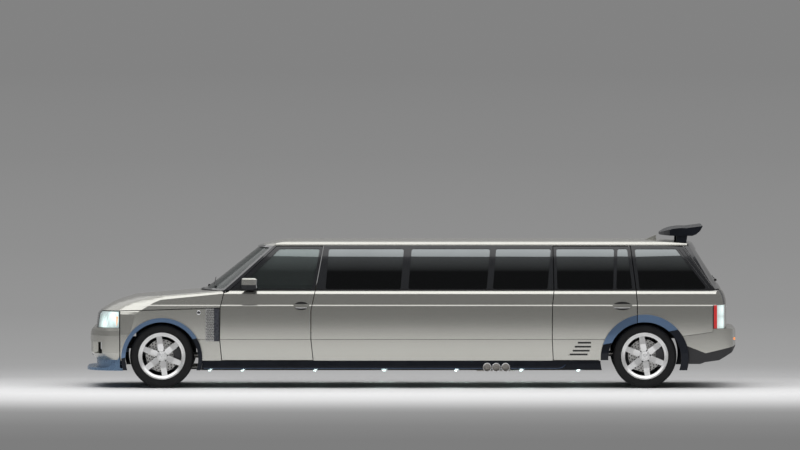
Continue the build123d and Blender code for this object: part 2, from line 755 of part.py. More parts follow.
def headlamp_carrier():
    """The panel that carries lamps, grille and bumper, with the socket of the towing eye."""
    rear = CARRIER_X0 + CARRIER_T
    panel = front_body(WING_WALL) & block(CARRIER_X0, rear, -FAR, FAR, SILL_Z + 9, 925)
    panel -= block(CARRIER_X0 - 1, rear + 1, -345, 345, 420, 640)
    panel -= block(CARRIER_X0 - 1, rear + 1, -480, 480, 640, 880)
    boss = along_x(Pos(*SOCKET_PLACE) * Circle(SOCKET_R + 9), rear - SOCKET_LENGTH, rear)
    return panel + boss - along_x(Pos(*SOCKET_PLACE) * Circle(SOCKET_R), rear - SOCKET_LENGTH - 1, rear + 1)


def front_structure():
    """Left chassis rail with its strut tower, from the headlamp carrier to the bulkhead."""
    rail = left(CARRIER_X0 + CARRIER_T, BULKHEAD_X, 350, 425, 470, 590)
    web = left(XF - 110, XF + 110, 395, 425, 590, 945)
    shelf = left(XF - 110, XF + 110, 395, 690, 905, 945)
    brace = left(XF - 110, XF - 90, 395, 560, 800, 905) + left(XF + 90, XF + 110, 395, 560, 800, 905)
    return rail + web + shelf + brace


def scuttle_panel():
    """The panel under the windscreen, with the bonnet's hinge pins."""
    rear = SCREEN_X + 60
    front = SCREEN_X - 45 + DOOR_GAP
    rear_side, front_side = rear + sag(SCREEN_R, 1100), front + sag(SCREEN_R, 1100)
    plan = along_z(region((front_side, -1100), ((front, 0), (front_side, 1100)),
                          (rear_side, 1100), ((rear, 0), (rear_side, -1100))), SCUTTLE_Z, BELT_Z)
    form = along_x(lower_section(30, 1000, BELT_Z), XF, XF + 1200)
    panel = plan & form
    clear = along_y(polygon((XD_FRONT - 14, 900), (XD_FRONT - 14, 1070), (XD_FRONT + 36, 1180),
                            (XD_FRONT + 100, 1197), (XD_FRONT + 400, 1197), (XD_FRONT + 400, 900)),
                    -FAR, -770)
    panel = panel - clear - flip(clear)
    x, z = BONNET_HINGE
    for side in (-1, 1):
        y0, y1 = side * BONNET_HINGE_W - BONNET_LUG_T / 2 - 3, side * BONNET_HINGE_W + BONNET_LUG_T / 2 + 3
        panel -= rod_y(x, z, BONNET_PIN_R + 9, y0, y1) + block(x - 200, x, y0, y1, z - 24, z + 60)
        panel += rod_y(x, z, BONNET_PIN_R, y0 - 7, y1 + 7)
    return panel


def windscreen_frame():
    """Windscreen pillars, header and sill rail in one frame."""
    shell = glasshouse(0, 0, 0, 0) - glasshouse(FRAME, ROOF_WALL, FRAME, 0)
    shell &= block(XF, XF + 2000, -FAR, FAR, BELT_Z, GUTTER_Z)
    line = [(XD_FRONT + 105 - DOOR_GAP, 1183), (XD_FRONT + 694 - DOOR_GAP, DOOR_TOP),
            (XD_FRONT + 694 - DOOR_GAP, 1850)]
    frame = shell & along_y(polygon((XF, 1000), (line[0][0], 1000), *line, (XF, 1850)), -FAR, FAR)
    opening = along_x(rounded([(-(GLASS_W - 48), BELT_Z + 14), (-(GUTTER_W - 44), GUTTER_Z - 22),
                               (GUTTER_W - 44, GUTTER_Z - 22), (GLASS_W - 48, BELT_Z + 14)], 40),
                      XF, XF + 2000)
    return frame - opening


def windscreen():
    sheet = glasshouse(0, 0, GLASS_DEPTH, 0) - glasshouse(0, 0, GLASS_DEPTH + GLASS_WALL, 0)
    outline = rounded([(-(GLASS_W - 48), BELT_Z + 14), (-(GUTTER_W - 44), GUTTER_Z - 22),
                       (GUTTER_W - 44, GUTTER_Z - 22), (GLASS_W - 48, BELT_Z + 14)], 40)
    return sheet & along_x(offset(outline, amount=-SEAT_GAP), XF, XF + 1600)


def roof_panel():
    shell = glasshouse(0, 0, 0, 0) - glasshouse(FRAME, ROOF_WALL, FRAME, FRAME)
    x, z = TAILGATE_HINGE
    roof = shell & block(XF, x - 16, -FAR, FAR, GUTTER_Z, ROOF_Z + 30)
    for side in (-1, 1):
        y = side * TAILGATE_HINGE_W
        for y0, y1 in ((y - 34, y - 22), (y + 22, y + 34)):
            roof = roof + block(x - 20, x, y0, y1, z - 6, z - 1) + rod_y(x, z, 6, y0, y1)
        roof = roof + rod_y(x, z, 4, y - 34, y + 34)
    fin = polygon((XR - 23, ROOF_Z - 30), (XR + 140, ROOF_Z + 40), (XR + 160, ROOF_Z + 44),
                  (XR + 160, ROOF_Z - 30))
    return roof + along_y(fin, -14, 14)


# Tail

def upper_tailgate_form():
    shell = glasshouse(0, 0, 0, 0) - glasshouse(FRAME, ROOF_WALL, FRAME, FRAME)
    outline = polygon(*TAILGATE_SHUT, (X_TAIL, ROOF_Z + 40), (X_TAIL, BELT_Z + 11))
    return shell & along_y(outline, -FAR, FAR)


TAIL_WINDOW = [(-740, BELT_Z + 60), (-640, 1690), (640, 1690), (740, BELT_Z + 60)]
TAILGATE_HINGE = (XR + 540, ROOF_Z - 55)
TAILGATE_HINGE_W = 480


def upper_tailgate():
    gate = upper_tailgate_form() - along_x(rounded(TAIL_WINDOW, 60), XR, X_TAIL)
    x, z = TAILGATE_HINGE
    for side in (-1, 1):
        y = side * TAILGATE_HINGE_W
        for y0, y1 in ((y - 36, y - 20.5), (y + 20.5, y + 36)):
            gate = gate - rod_y(x, z, 11, y0, y1)
        lug = rod_y(x, z, 8, y - 20, y + 20) + block(x, x + 25, y - 20, y + 20, z - 8, z + 5)
        gate = gate + lug - rod_y(x, z, 4 + SEAT_GAP, y - 30, y + 30)
    return gate


def tailgate_glass():
    sheet = glasshouse(0, 0, 0, GLASS_DEPTH) - glasshouse(0, 0, 0, GLASS_DEPTH + GLASS_WALL)
    return sheet & along_x(offset(rounded(TAIL_WINDOW, 60), amount=-SEAT_GAP), XR + 300, X_TAIL)


LOWER_GATE_T = 70
LOWER_GATE_Z0 = 745
LOWER_GATE_HINGE = (TAIL_FACE_X - 9, LOWER_GATE_Z0 + 9)
LOWER_GATE_HINGE_W = 420


def lower_tailgate():
    gate = tail_body(0) - tail_body(LOWER_GATE_T)
    w = TAILGATE_W - DOOR_GAP + SHUT_GAP
    gate &= block(TAIL_FACE_X - 200, X_TAIL, -w, w, LOWER_GATE_Z0, BELT_Z - 8)
    gate -= block(TAIL_FACE_X - 200, TAIL_FACE_X - 90, -FAR, FAR, BELT_Z - 60, BELT_Z)
    x, z = LOWER_GATE_HINGE
    for side in (-1, 1):
        y = side * LOWER_GATE_HINGE_W
        gate = gate - rod_y(x, z, 5 + SEAT_GAP, y - 45, y + 45)
        gate = gate - block(x - 16, x + 16, y - 46, y - 28, z - 16, z + 16)
        gate = gate - block(x - 16, x + 16, y + 28, y + 46, z - 16, z + 16)
    return gate


def tail_lamp():
    block_form = left(LAMP_X0 + 3, TAIL_FACE_X + 20, TAILGATE_W + SHUT_GAP, FAR, BUMPER_SHELF_Z, LAMP_Z1)
    return (tail_body(0) - tail_body(WALL)) & block_form


BUMPER_SHELF_Z = 735


def rear_bumper():
    """A deep wrap-round bumper over a dark under-panel."""
    def form(depth):
        line = shifted(BUMPER_LINE, SHUT_GAP)
        profile = along_y(polygon(
            *UNDER_LINE, (X_TAIL, 700), (X_TAIL - 14, REAR_BUMPER_TOP),
            (line[-1][0], REAR_BUMPER_TOP), *line[::-1]), -FAR, FAR)
        plan = along_z(rounded([(XR, -(FEATURE_W + 4 - depth)), (X_TAIL - 60 - depth, -(FEATURE_W + 4 - depth)),
                                (X_TAIL - depth, -500), (X_TAIL - depth, 500),
                                (X_TAIL - 60 - depth, FEATURE_W + 4 - depth), (XR, FEATURE_W + 4 - depth)],
                               [1, 190, 900, 900, 190, 1]), 0, 900)
        return profile & plan

    shell = form(0) - (form(70) & block(XR, X_TAIL - 70, -FAR, FAR, 0, 700))
    shell = shell - arch_cut(XR, REAR_FLARE_R + SHUT_GAP, -FAR, FAR)
    x, z = LOWER_GATE_HINGE
    for side in (-1, 1):
        y = side * LOWER_GATE_HINGE_W
        for y0, y1 in ((y - 44, y - 30), (y + 30, y + 44)):
            shell = shell + block(x - 7, x + 7, y0, y1, REAR_BUMPER_TOP - 1, z) + rod_y(x, z, 7, y0, y1)
        shell = shell + rod_y(x, z, 5, y - 44, y + 44)
    return shell


def rear_diffuser():
    profile = along_y(polygon(
        (XR + 414, 298), (XR + 681, 298), (XR + 743, 321), (XR + 915, 345), (XR + 1072, 438),
        (X_TAIL - 3, 508),
        *shifted(UNDER_LINE[::-1], 0, -SEAT_GAP)), -FAR, FAR)
    plan = along_z(rounded([(XR, -FEATURE_W), (X_TAIL - 62, -FEATURE_W), (X_TAIL - 2, -500),
                            (X_TAIL - 2, 500), (X_TAIL - 62, FEATURE_W), (XR, FEATURE_W)],
                           [1, 190, 900, 900, 190, 1]), 0, 900)
    skirt = profile & plan
    skirt -= arch_cut(XR, REAR_FLARE_R + SHUT_GAP, -FAR, FAR)
    for i in range(5):
        y = -400 + i * 200
        skirt -= block(XR + 790, X_TAIL, y - 80, y + 80, 280, 420)
    return skirt


WING_SPAN = 640


def roof_spoiler():
    """A raised rear wing on two legs, its middle carried forward as a roof fairing."""
    blade = along_y(region(
        (XR + 174, 1884), ((XR + 330, 1942), (XR + 520, 1958)), (XR + 720, 1983),
        (XR + 690, 1925), (XR + 640, 1880), (XR + 590, 1862), (XR + 400, 1862), (XR + 200, 1868),
    ), -WING_SPAN, WING_SPAN)
    blade &= along_z(region(
        (XR + 314, -WING_SPAN), ((XR + 190, 0), (XR + 314, WING_SPAN)), (XR + 800, WING_SPAN),
        (XR + 800, -WING_SPAN)), 1800, 2000)
    leg = along_y(polygon((XR + 391, 1700), (XR + 401, 1880), (XR + 533, 1880), (XR + 512, 1740)),
                  -(WING_SPAN - 12), -(WING_SPAN - 70))
    legs = (leg + flip(leg)) - roof_profile(0)
    return blade + legs


# Wheels, tyres, brakes

def wheel(x):
    """A six-spoke deep-lipped wheel with its hub and brake disc, left side."""
    outer, inner = WHEEL_Y + TYRE_W / 2 - 3, WHEEL_Y - TYRE_W / 2 + 3
    face = WHEEL_Y + HUB_OFFSET

    def turned(points):
        """Turns an (axle distance, distance from centre plane) outline about the axle."""
        sketch = polygon(*[(r, -w) for r, w in points])
        return revolve(Plane.XY * sketch, axis=Axis.Y)

    barrel = turned([(RIM_R, outer), (RIM_R - 10, outer - 2), (RIM_R - 16, outer - 14),
                     (BARREL_R - 14, outer - 30), (240, outer - 44), (240, outer - 54),
                     (BARREL_R - 10, outer - 72), (BARREL_R - 10, inner + 14), (RIM_R - 12, inner),
                     (RIM_R, inner), (RIM_R, inner + 12), (BARREL_R, inner + 24),
                     (BARREL_R, outer - 24), (RIM_R, outer - 12)])
    hub = turned([(0, face + 62), (58, face + 60), (70, face + 42), (86, face + 38), (86, face), (92, face),
                  (92, WHEEL_Y - 12), (DISC_R, WHEEL_Y - 12), (DISC_R, WHEEL_Y - 12 - DISC_T),
                  (78, WHEEL_Y - 12 - DISC_T), (78, WHEEL_Y - 50), (SPINDLE_R + SEAT_GAP, WHEEL_Y - 50),
                  (SPINDLE_R + SEAT_GAP, face - 6), (0, face - 6)])
    dish = turned([(60, face + 52), (150, face + 70), (250, outer - 30), (250, outer - 66), (150, face + 34),
                   (60, face + 8)])
    blade = polygon((-38, 60), (-33, 250), (33, 250), (38, 60))
    star = Rot(0, 0, SPOKE_TURN) * blade
    for i in range(1, SPOKES):
        star += Rot(0, 0, SPOKE_TURN + i * 360 / SPOKES) * blade
    spokes = dish & along_y(star, -(outer + 40), -(face - 10))
    body = barrel + hub + spokes
    for i in range(SPOKES):
        angle = math.radians((i + 0.5) * 360 / SPOKES - SPOKE_TURN)
        body -= rod_y(74 * math.sin(angle), 74 * math.cos(angle), 9, -(face + 100), -(face + 20))
    return Pos(x, 0, TYRE_R) * body


def tyre(x):
    """A low-profile tyre: eight plain bands turned about the axle."""
    outer, inner = WHEEL_Y + TYRE_W / 2, WHEEL_Y - TYRE_W / 2
    seat, lip = BARREL_R + SEAT_GAP, RIM_R + SEAT_GAP
    points = [(seat, outer - 28.2), (lip, outer - 16.2), (lip + 6, outer - 6), (345, outer),
              (TYRE_R, outer - 24), (TYRE_R, inner + 24), (345, inner), (lip + 6, inner + 6),
              (lip, inner + 16.2), (seat, inner + 28.2)]
    ring = revolve(Plane.XY * polygon(*[(r, -w) for r, w in points]), axis=Axis.Y)
    return Pos(x, 0, TYRE_R) * ring


# Suspension

STRUT_TOP = (600, 905)
BALL_JOINT = (752, 225)
BALL_CENTRE = (734, 244)


def caliper(x, side):
    """A caliper astride the disc, behind the axle."""
    w = WHEEL_Y - 12 - DISC_T / 2
    block_form = rod_y(x, TYRE_R, 232, -(w + 44), -(w - 50)) - rod_y(x, TYRE_R, 140, -FAR, 0)
    block_form &= along_y(polygon((x, TYRE_R), (x + side * 400, TYRE_R - 190), (x + side * 400, TYRE_R + 190)),
                          -FAR, 0)
    slot = rod_y(x, TYRE_R, DISC_R + 5, -(w + DISC_T / 2 + 5), -(w - DISC_T / 2 - 5))
    return block_form - slot


def upright(x):
    """The hub carrier with its spindle, left side."""
    carrier = rod_y(x, TYRE_R, 62, -(WHEEL_Y - 56), -(WHEEL_Y - 120))
    spindle = rod_y(x, TYRE_R, SPINDLE_R, -(WHEEL_Y + HUB_OFFSET - 7), -(WHEEL_Y - 60))
    bracket = left(x, x + 190, WHEEL_Y - 100, WHEEL_Y - 78, TYRE_R - 45, TYRE_R + 45)
    return carrier + spindle + bracket


def steer_point(z):
    """The point of the left steering axis at a height."""
    (w0, z0), (w1, z1) = BALL_CENTRE, STRUT_TOP
    return (XF, -(w0 + (w1 - w0) * (z - z0) / (z1 - z0)), z)


def front_knuckle():
    body = upright(XF) + caliper(XF, 1)
    arm = left(XF - 28, XF + 28, WHEEL_Y - 120, WHEEL_Y - 80, 250, TYRE_R)
    ball = Pos(XF, -BALL_JOINT[0] + 18, 244) * Sphere(20)
    ball = ball + rod_between((XF, -(WHEEL_Y - 100), 262), (XF, -BALL_JOINT[0] + 14, 246), 15)
    clamp = left(XF - 26, XF + 26, 600, WHEEL_Y - 100, TYRE_R + 10, TYRE_R + 70)
    damper = rod_between((XF, -630, TYRE_R + 20), (XF, -604, 800), 26)
    rod = rod_between((XF, -604, 800), steer_point(890), 11)
    bearing = rod_between(steer_point(880), steer_point(900.3), 22)
    seat = rod_between((XF, -604.5, 782), (XF, -603.7, 794), 64)
    body = body + arm + ball + clamp + damper + rod + bearing + seat
    for i in range(4):
        coil_z = 808 + i * 24
        body = body + (Pos(XF, -602, coil_z) * Torus(52, 7))
    sleeve = Pos(XF, -602, 845) * Cylinder(48, 100)
    steer = left(XF + 20, XF + 160, WHEEL_Y - 118, WHEEL_Y - 96, 300, 322)
    return body + sleeve + steer


def front_suspension():
    """Subframe, lower arms and steering rack."""
    frame = block(XF - 210, XF + 210, -330, 330, 250, 300)
    frame += block(XF - 210, XF - 150, -400, 400, 250, 300) + block(XF + 150, XF + 210, -400, 400, 250, 300)
    posts = left(XF - 205, XF - 155, 350, 400, 300, 470) + left(XF + 155, XF + 205, 350, 400, 300, 470)
    arm = along_z(region((XF - 190, -330), (XF - 20, -(BALL_JOINT[0] - 45)), (XF + 20, -(BALL_JOINT[0] - 45)),
                         (XF + 190, -330), (XF + 120, -330), (XF, -520), (XF - 120, -330)), 205, 222)
    arm = arm + rod_between((XF, -(BALL_JOINT[0] - 50), 205), (XF, -(BALL_JOINT[0] - 50), 222), 26)
    bushes = left(XF - 190, XF - 130, 300, 335, 205, 250) + left(XF + 130, XF + 190, 300, 335, 205, 250)
    rack = rod_y(XF + 130, 330, 28, -380, 380) + block(XF + 110, XF + 150, -60, 60, 296, 330)
    return frame + posts + flip(posts) + arm + flip(arm) + bushes + flip(bushes) + rack


def rear_suspension():
    """Subframe with the final drive, arms and hub carriers."""
    frame = block(XR - 260, XR + 260, -300, 300, 440, 480)
    drive = Pos(XR, 0, TYRE_R) * Sphere(130) + along_x(Pos(0, TYRE_R) * Circle(60), XR - 240, XR)
    frame = frame + drive
    legs = left(XR - 230, XR - 180, 280, 300, 240, 450) + left(XR + 180, XR + 230, 280, 300, 240, 450)
    frame = frame + legs + flip(legs)
    w = WHEEL_Y - 110
    lower = along_z(polygon((XR - 230, -290), (XR - 60, -w), (XR + 60, -w), (XR + 230, -290), (XR + 150, -290),
                            (XR, -480), (XR - 150, -290)), 240, 270)
    upper = along_z(polygon((XR - 200, -300), (XR - 30, -w), (XR + 30, -w), (XR + 200, -300), (XR + 120, -300),
                            (XR, -470), (XR - 120, -300)), 520, 545)
    tower = left(XR - 200, XR - 120, 270, 300, 480, 600) + left(XR + 120, XR + 200, 270, 300, 480, 600)
    post = left(XR - 30, XR + 30, w - 10, w + 40, 240, 560)
    half = upright(XR) + caliper(XR, 1) + lower + upper + tower + post
    shaft = rod_y(XR, TYRE_R, 24, -(WHEEL_Y - 100), -80)
    spring = rod_between((XR, -560, 545), (XR, -560, 600), 60)
    half = half + shaft + spring
    return frame + half + flip(half)


# Underbody

JACK_SETBACK = 900
JACK_W = 805
JACK_Z = 236


def floor_pan():
    """The floor with its sills, tunnel, rear wheelhouses and raised boot floor."""
    x0 = XD_FRONT - 70
    kick = XR - 560
    rear = TAIL_FACE_X - 120
    main = block(x0, kick, -SILL_W, SILL_W, SILL_Z - 60, SILL_Z)
    tunnel = block(x0 + 35, kick, -TUNNEL_W, TUNNEL_W, SILL_Z, SILL_Z + TUNNEL_H)
    sill = left(x0, kick, SILL_W - 110, SILL_W, SKIRT_Z + 30, SILL_Z - 60)
    step = block(kick - 30, kick, -600, 600, SILL_Z, 640)
    boot = block(kick - 30, rear, -600, 600, 600, 640)
    side = left(kick - 30, XR + 520, 570, 600, 640, 900)
    roof = left(kick - 30, XR + 520, 570, SILL_W - 70, 870, 900)
    back = block(rear - 30, rear, -850, 850, 480, 700 - SEAT_GAP)
    tray = block(XR + 520, rear, -860, 860, 600, 640)
    house = left(XR + 490, XR + 520, 570, SILL_W - 70, 600, 900)
    front_house = left(kick - 30, kick, 570, SILL_W - 70, SILL_Z, 900)
    inside = along_x(cabin_section(6), x0, rear)
    houses = (side + roof + house + front_house) & inside
    body = main + tunnel + sill + flip(sill) + step + boot + back + tray + houses + flip(houses)
    body -= block(x0 - 1, kick + 1, -TUNNEL_W + 30, TUNNEL_W - 30, SILL_Z - 70, SILL_Z + TUNNEL_H - 30)
    for x in TAILPIPE_X:
        room = rod_y(x, TAILPIPE_Z, TAILPIPE_R + 5, -FAR, -(SILL_W - 140))
        body = body - room - flip(room)
    for x in (XF + JACK_SETBACK, XR - JACK_SETBACK):
        pad = left(x - 45, x + 45, JACK_W - 35, JACK_W + 35, JACK_Z, SILL_Z - 60)
        body = body + pad + flip(pad)
    return body


def side_skirt():
    """A deep black skirt with a rounded lower edge, a rising kick at the rear and lamp lenses."""
    x0, x1 = XF + 470, XR - 470
    inner = SILL_W + SEAT_GAP
    sill_z = SKIRT_Z + 30 - SEAT_GAP
    section = region((-inner, SILL_Z), (-(SKIRT_W - 26), SILL_Z), (-(SKIRT_W - 16), SKIRT_Z + 52),
                     (-SKIRT_W, SKIRT_Z + 44), ((-SKIRT_W + 2, SKIRT_Z + 24), (-(SKIRT_W - 24), SKIRT_Z + 8)),
                     (-(SKIRT_W - 60), SKIRT_Z), (-(SILL_W - 90), SKIRT_Z), (-(SILL_W - 90), sill_z),
                     (-inner, sill_z))
    skirt = along_x(section, x0, x1)
    skirt += left(XR - 967, x1, SKIRT_W - 30, SKIRT_W + 6, SKIRT_Z + 12, SKIRT_Z + 78)
    skirt -= arch_cut(XR, REAR_FLARE_R + SHUT_GAP, 300, FAR)
    skirt -= arch_cut(XF, FRONT_FLARE_R + SHUT_GAP, 300, FAR)
    for x in TAILPIPE_X:
        skirt -= rod_y(x, TAILPIPE_Z, TAILPIPE_R + SEAT_GAP, -FAR, -300)
    return skirt


SKIRT_LAMPS = [0.005, 0.088, 0.272, 0.448, 0.630, 0.795, 0.940]
TAILPIPE_X = (XR - 1934, XR - 1823, XR - 1708)
TAILPIPE_R = 52
TAILPIPE_Z = SKIRT_Z + 36


def skirt_lamps():
    x0, span = XF + 560, WHEELBASE - 1090
    lamps = []
    for share in SKIRT_LAMPS:
        x = x0 + share * span
        lamps.append(Pos(x, -(SILL_W - 40), 0) * along_z(Circle(16), SKIRT_Z - 14, SKIRT_Z))
    return together(*lamps, *[flip(lamp) for lamp in lamps])


def side_tailpipes():
    """Three round outlets through each skirt."""
    pipes = []
    for x in TAILPIPE_X:
        ring = rod_y(x, TAILPIPE_Z, TAILPIPE_R, -(SKIRT_W + 12), -(SILL_W - 130))
        ring = ring - rod_y(x, TAILPIPE_Z, TAILPIPE_R - 6, -(SKIRT_W + 20), -(SILL_W - 90))
        pipes.append(ring + rod_y(x, TAILPIPE_Z - 12, 28, -(SILL_W - 128), -400))
    return pipes


def arch_flares():
    front = flare_ring(XF, FRONT_FLARE_R)
    rear = flare_ring(XR, REAR_FLARE_R) & block(XR - 96 + DOOR_GAP, XR + FAR, -FAR, 0, 0, 1200)
    return together(pair(front), pair(rear))


def exhaust_system():
    """Twin pipes beside the tunnel that feed a silencer and the side outlets."""
    run = rod_between((XF + 300, -170, 232), (XR - 2000, -170, 232), 30)
    box = block(XR - 2060, XR - 1580, -420, 420, 190, 270)
    system = run + flip(run) + box
    for pipe in side_tailpipes():
        system = system + pipe + flip(pipe)
    return system


def propshaft():
    return rod_between((XF + 330.3, 0, TYRE_R - 20), (XR - 240.3, 0, TYRE_R), 35)


MIRROR_X = XD_FRONT + 355
MIRROR_W = 1096


def door_mirror():
    """A door mirror: a rounded head on a short foot above the shoulder."""
    plan = rounded([(MIRROR_X - 95, -(MIRROR_W - 45)), (MIRROR_X - 60, -(MIRROR_W - 170)),
                    (MIRROR_X + 95, -(MIRROR_W - 185)), (MIRROR_X + 95, -MIRROR_W),
                    (MIRROR_X - 20, -MIRROR_W)], 28)
    head = along_z(plan, 1218, 1356)
    head = fillet(head.edges().group_by(Axis.Z)[-1], 24)
    foot = left(MIRROR_X - 35, MIRROR_X + 55, GLASS_W + SEAT_GAP, BELT_W + 60, BELT_Z + SEAT_GAP, 1222)
    return head + foot


def engine_block():
    mounts = block(XF - 60, XF + 60, -350 + SEAT_GAP, 350 - SEAT_GAP, 500, 560)
    return block(XF - 330, XF + 330, -330, 330, 380, 900) + mounts


# Cabin

def dashboard():
    x0 = XD_FRONT - 35
    body = along_y(region((x0, 700), (x0, 1070), (x0 + 110, 1085), ((x0 + 200, 1118), (x0 + 320, 1105)),
                          (x0 + 390, 1040), (x0 + 370, 860), (x0 + 220, 700)), -780, 780)
    console = block(x0, x0 + 560, -130, 130, SILL_Z + TUNNEL_H, 720)
    return body + console


def steering_wheel():
    x, y, z = XD_FRONT + 470, -400, 1010
    tilt = Plane(origin=(x, y, z), z_dir=(1, 0, 0.42))
    rim = tilt * Torus(185, 15)
    spokes = tilt * Box(60, 350, 12) + tilt * Pos(80, 0, 0) * Box(190, 40, 12)
    boss = tilt * Cylinder(55, 30)
    column = rod_between((x, y, z), (x - 109.3, y, z - 45.7), 28)
    return rim + spokes + boss + column


def seat(x, y, width, back_height=640):
    """A seat facing forward, its cushion front at x."""
    z = SILL_Z + 250
    cushion = Pos(x + 260, y, z + 10) * Box(520, width, 150)
    back = Pos(x + 530, y, z + 60) * Rot(0, 14, 0) * Pos(0, 0, back_height / 2) * Box(130, width, back_height)
    head = Pos(x + 715, y, z + back_height + 130) * Box(100, 260, 170)
    base = Pos(x + 260, y, (SILL_Z + z - 65) / 2) * Box(420, width - 120, z - 65 - SILL_Z)
    neck = Pos(x + 700, y, z + back_height + 20) * Box(20, 120, 100)
    return cushion + back + head + neck + base


def front_seats():
    return pair(seat(XD_FRONT + 560, -400, 520))


def cabin_section(clear):
    """The cabin's inner outline between the side walls, from floor to gutter."""
    low = lower_path(WALL + clear)
    high = upper_path(FRAME + clear)
    ends = [low[0], low[-1], high[0], high[1][1]]
    right = [(-y, z) for y, z in ends[::-1]]
    return polygon(*ends, *right)


def cabin_partition():
    x = XD_FRONT_END + 240
    wall = along_x(cabin_section(6), x, x + 40) - block(x - 10, x + 50, -450, 450, 1150, 1600)
    wall -= block(x - 10, x + 50, -TUNNEL_W, TUNNEL_W, 0, SILL_Z + TUNNEL_H)
    return wall - block(x - 10, x + 50, -FAR, FAR, GUTTER_Z, ROOF_Z)


def lounge_seats():
    """A long side bench that turns across the rear of the saloon."""
    x0, x1 = XD_FRONT_END + 330, XD_REAR - 60
    z0, z1 = SILL_Z, SILL_Z + 400
    bench = block(x0, x1, 330, 840, z0, z1)
    rest = block(x0, x1, 700, 840, z1, z1 + 420)
    return bench + rest


def rear_bench():
    x = XR - 1020
    bench = block(x, x + 420, -560, 560, SILL_Z, SILL_Z + 370)
    rest = block(x + 300, x + 420, -560, 560, SILL_Z + 370, 1250)
    return bench + rest - block(x - 1, x + 430, -TUNNEL_W, TUNNEL_W, 0, SILL_Z + TUNNEL_H)


def build():
    shapes = {
        "floor_pan": floor_pan,
        "front_structure": lambda: pair(front_structure()),
        "bulkhead": bulkhead,
        "headlamp_carrier": headlamp_carrier,
        "engine_block": engine_block,
        "front_wings": lambda: pair(front_wing()),
        "wing_vents": lambda: pair(wing_vent()),
        "bonnet": bonnet,
        "front_bumper": front_bumper,
        "front_splitter": front_splitter,
        "front_grilles": lambda: together(radiator_grille(), lower_grille()),
        "headlamps": lambda: pair(headlamp()),
        "scuttle_panel": scuttle_panel,
        "windscreen_frame": windscreen_frame,
        "windscreen": windscreen,
        "roof_panel": roof_panel,
        "stretch_walls": lambda: pair(stretch_wall()),
        "quarter_panels": lambda: pair(quarter_panel()),
        "saloon_windows": lambda: pair(together(*[pane(p) for p in stretch_glass() + [QUARTER_GLASS]])),
        "side_skirts": lambda: pair(side_skirt()),
        "skirt_lamps": skirt_lamps,
        "arch_flares": arch_flares,
        "upper_tailgate": upper_tailgate,
        "tailgate_glass": tailgate_glass,
        "lower_tailgate": lower_tailgate,
        "tail_lamps": lambda: pair(tail_lamp()),
        "rear_bumper": rear_bumper,
        "rear_diffuser": rear_diffuser,
        "roof_spoiler": roof_spoiler,
        "front_suspension": front_suspension,
        "rear_suspension": rear_suspension,
        "propshaft": propshaft,
        "exhaust_system": exhaust_system,
        "dashboard": dashboard,
        "steering_wheel": steering_wheel,
        "front_seats": front_seats,
        "cabin_partition": cabin_partition,
        "lounge_seats": lounge_seats,
        "rear_bench": rear_bench,
    }
    sides = {
        "front_{}_door": front_door,
        "rear_{}_door": rear_door,
        "front_{}_mirror": door_mirror,
        "front_{}_door_glass": lambda: pane(FRONT_DOOR_GLASS),
        "rear_{}_door_glass": lambda: together(pane(REAR_DOOR_GLASS), pane(REAR_QUARTER_LIGHT)),
        "front_{}_knuckle": front_knuckle,
        "front_{}_wheel": lambda: wheel(XF),
        "front_{}_tyre": lambda: tyre(XF),
        "rear_{}_wheel": lambda: wheel(XR),
        "rear_{}_tyre": lambda: tyre(XR),
    }
    os.makedirs("parts", exist_ok=True)
    for name, make in shapes.items():
        export_step(together(make()), f"parts/{name}.step")
    for name, make in sides.items():
        shape = make()
        export_step(together(shape), f"parts/{name.format('left')}.step")
        export_step(together(flip(shape)), f"parts/{name.format('right')}.step")


build()
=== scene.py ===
import math

import bmesh
import bpy
from mathutils import Matrix, Vector
from mathutils.bvhtree import BVHTree

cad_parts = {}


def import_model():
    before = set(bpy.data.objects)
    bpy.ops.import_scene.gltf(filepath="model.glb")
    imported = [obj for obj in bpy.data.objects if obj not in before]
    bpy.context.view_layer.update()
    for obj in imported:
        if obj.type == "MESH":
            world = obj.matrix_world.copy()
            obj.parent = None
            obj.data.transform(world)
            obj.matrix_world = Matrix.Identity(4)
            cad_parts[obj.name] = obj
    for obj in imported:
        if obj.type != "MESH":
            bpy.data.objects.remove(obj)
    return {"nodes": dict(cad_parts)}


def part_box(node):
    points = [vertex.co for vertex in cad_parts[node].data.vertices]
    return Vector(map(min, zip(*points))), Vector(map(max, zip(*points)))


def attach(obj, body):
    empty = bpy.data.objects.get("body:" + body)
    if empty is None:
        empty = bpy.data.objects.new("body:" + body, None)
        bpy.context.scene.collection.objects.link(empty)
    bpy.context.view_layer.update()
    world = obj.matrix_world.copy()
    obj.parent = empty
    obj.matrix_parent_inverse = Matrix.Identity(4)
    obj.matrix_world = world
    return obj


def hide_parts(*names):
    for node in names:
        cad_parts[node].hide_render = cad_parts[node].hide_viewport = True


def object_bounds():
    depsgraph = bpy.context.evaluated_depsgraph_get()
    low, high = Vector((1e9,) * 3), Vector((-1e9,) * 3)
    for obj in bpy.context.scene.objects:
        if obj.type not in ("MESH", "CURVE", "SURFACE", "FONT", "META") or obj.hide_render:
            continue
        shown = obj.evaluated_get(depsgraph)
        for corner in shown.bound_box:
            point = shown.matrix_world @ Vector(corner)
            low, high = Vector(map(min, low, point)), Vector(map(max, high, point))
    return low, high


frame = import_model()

cad_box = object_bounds()
NODES = frame["nodes"]
SIDES = {"left": -1, "right": 1}

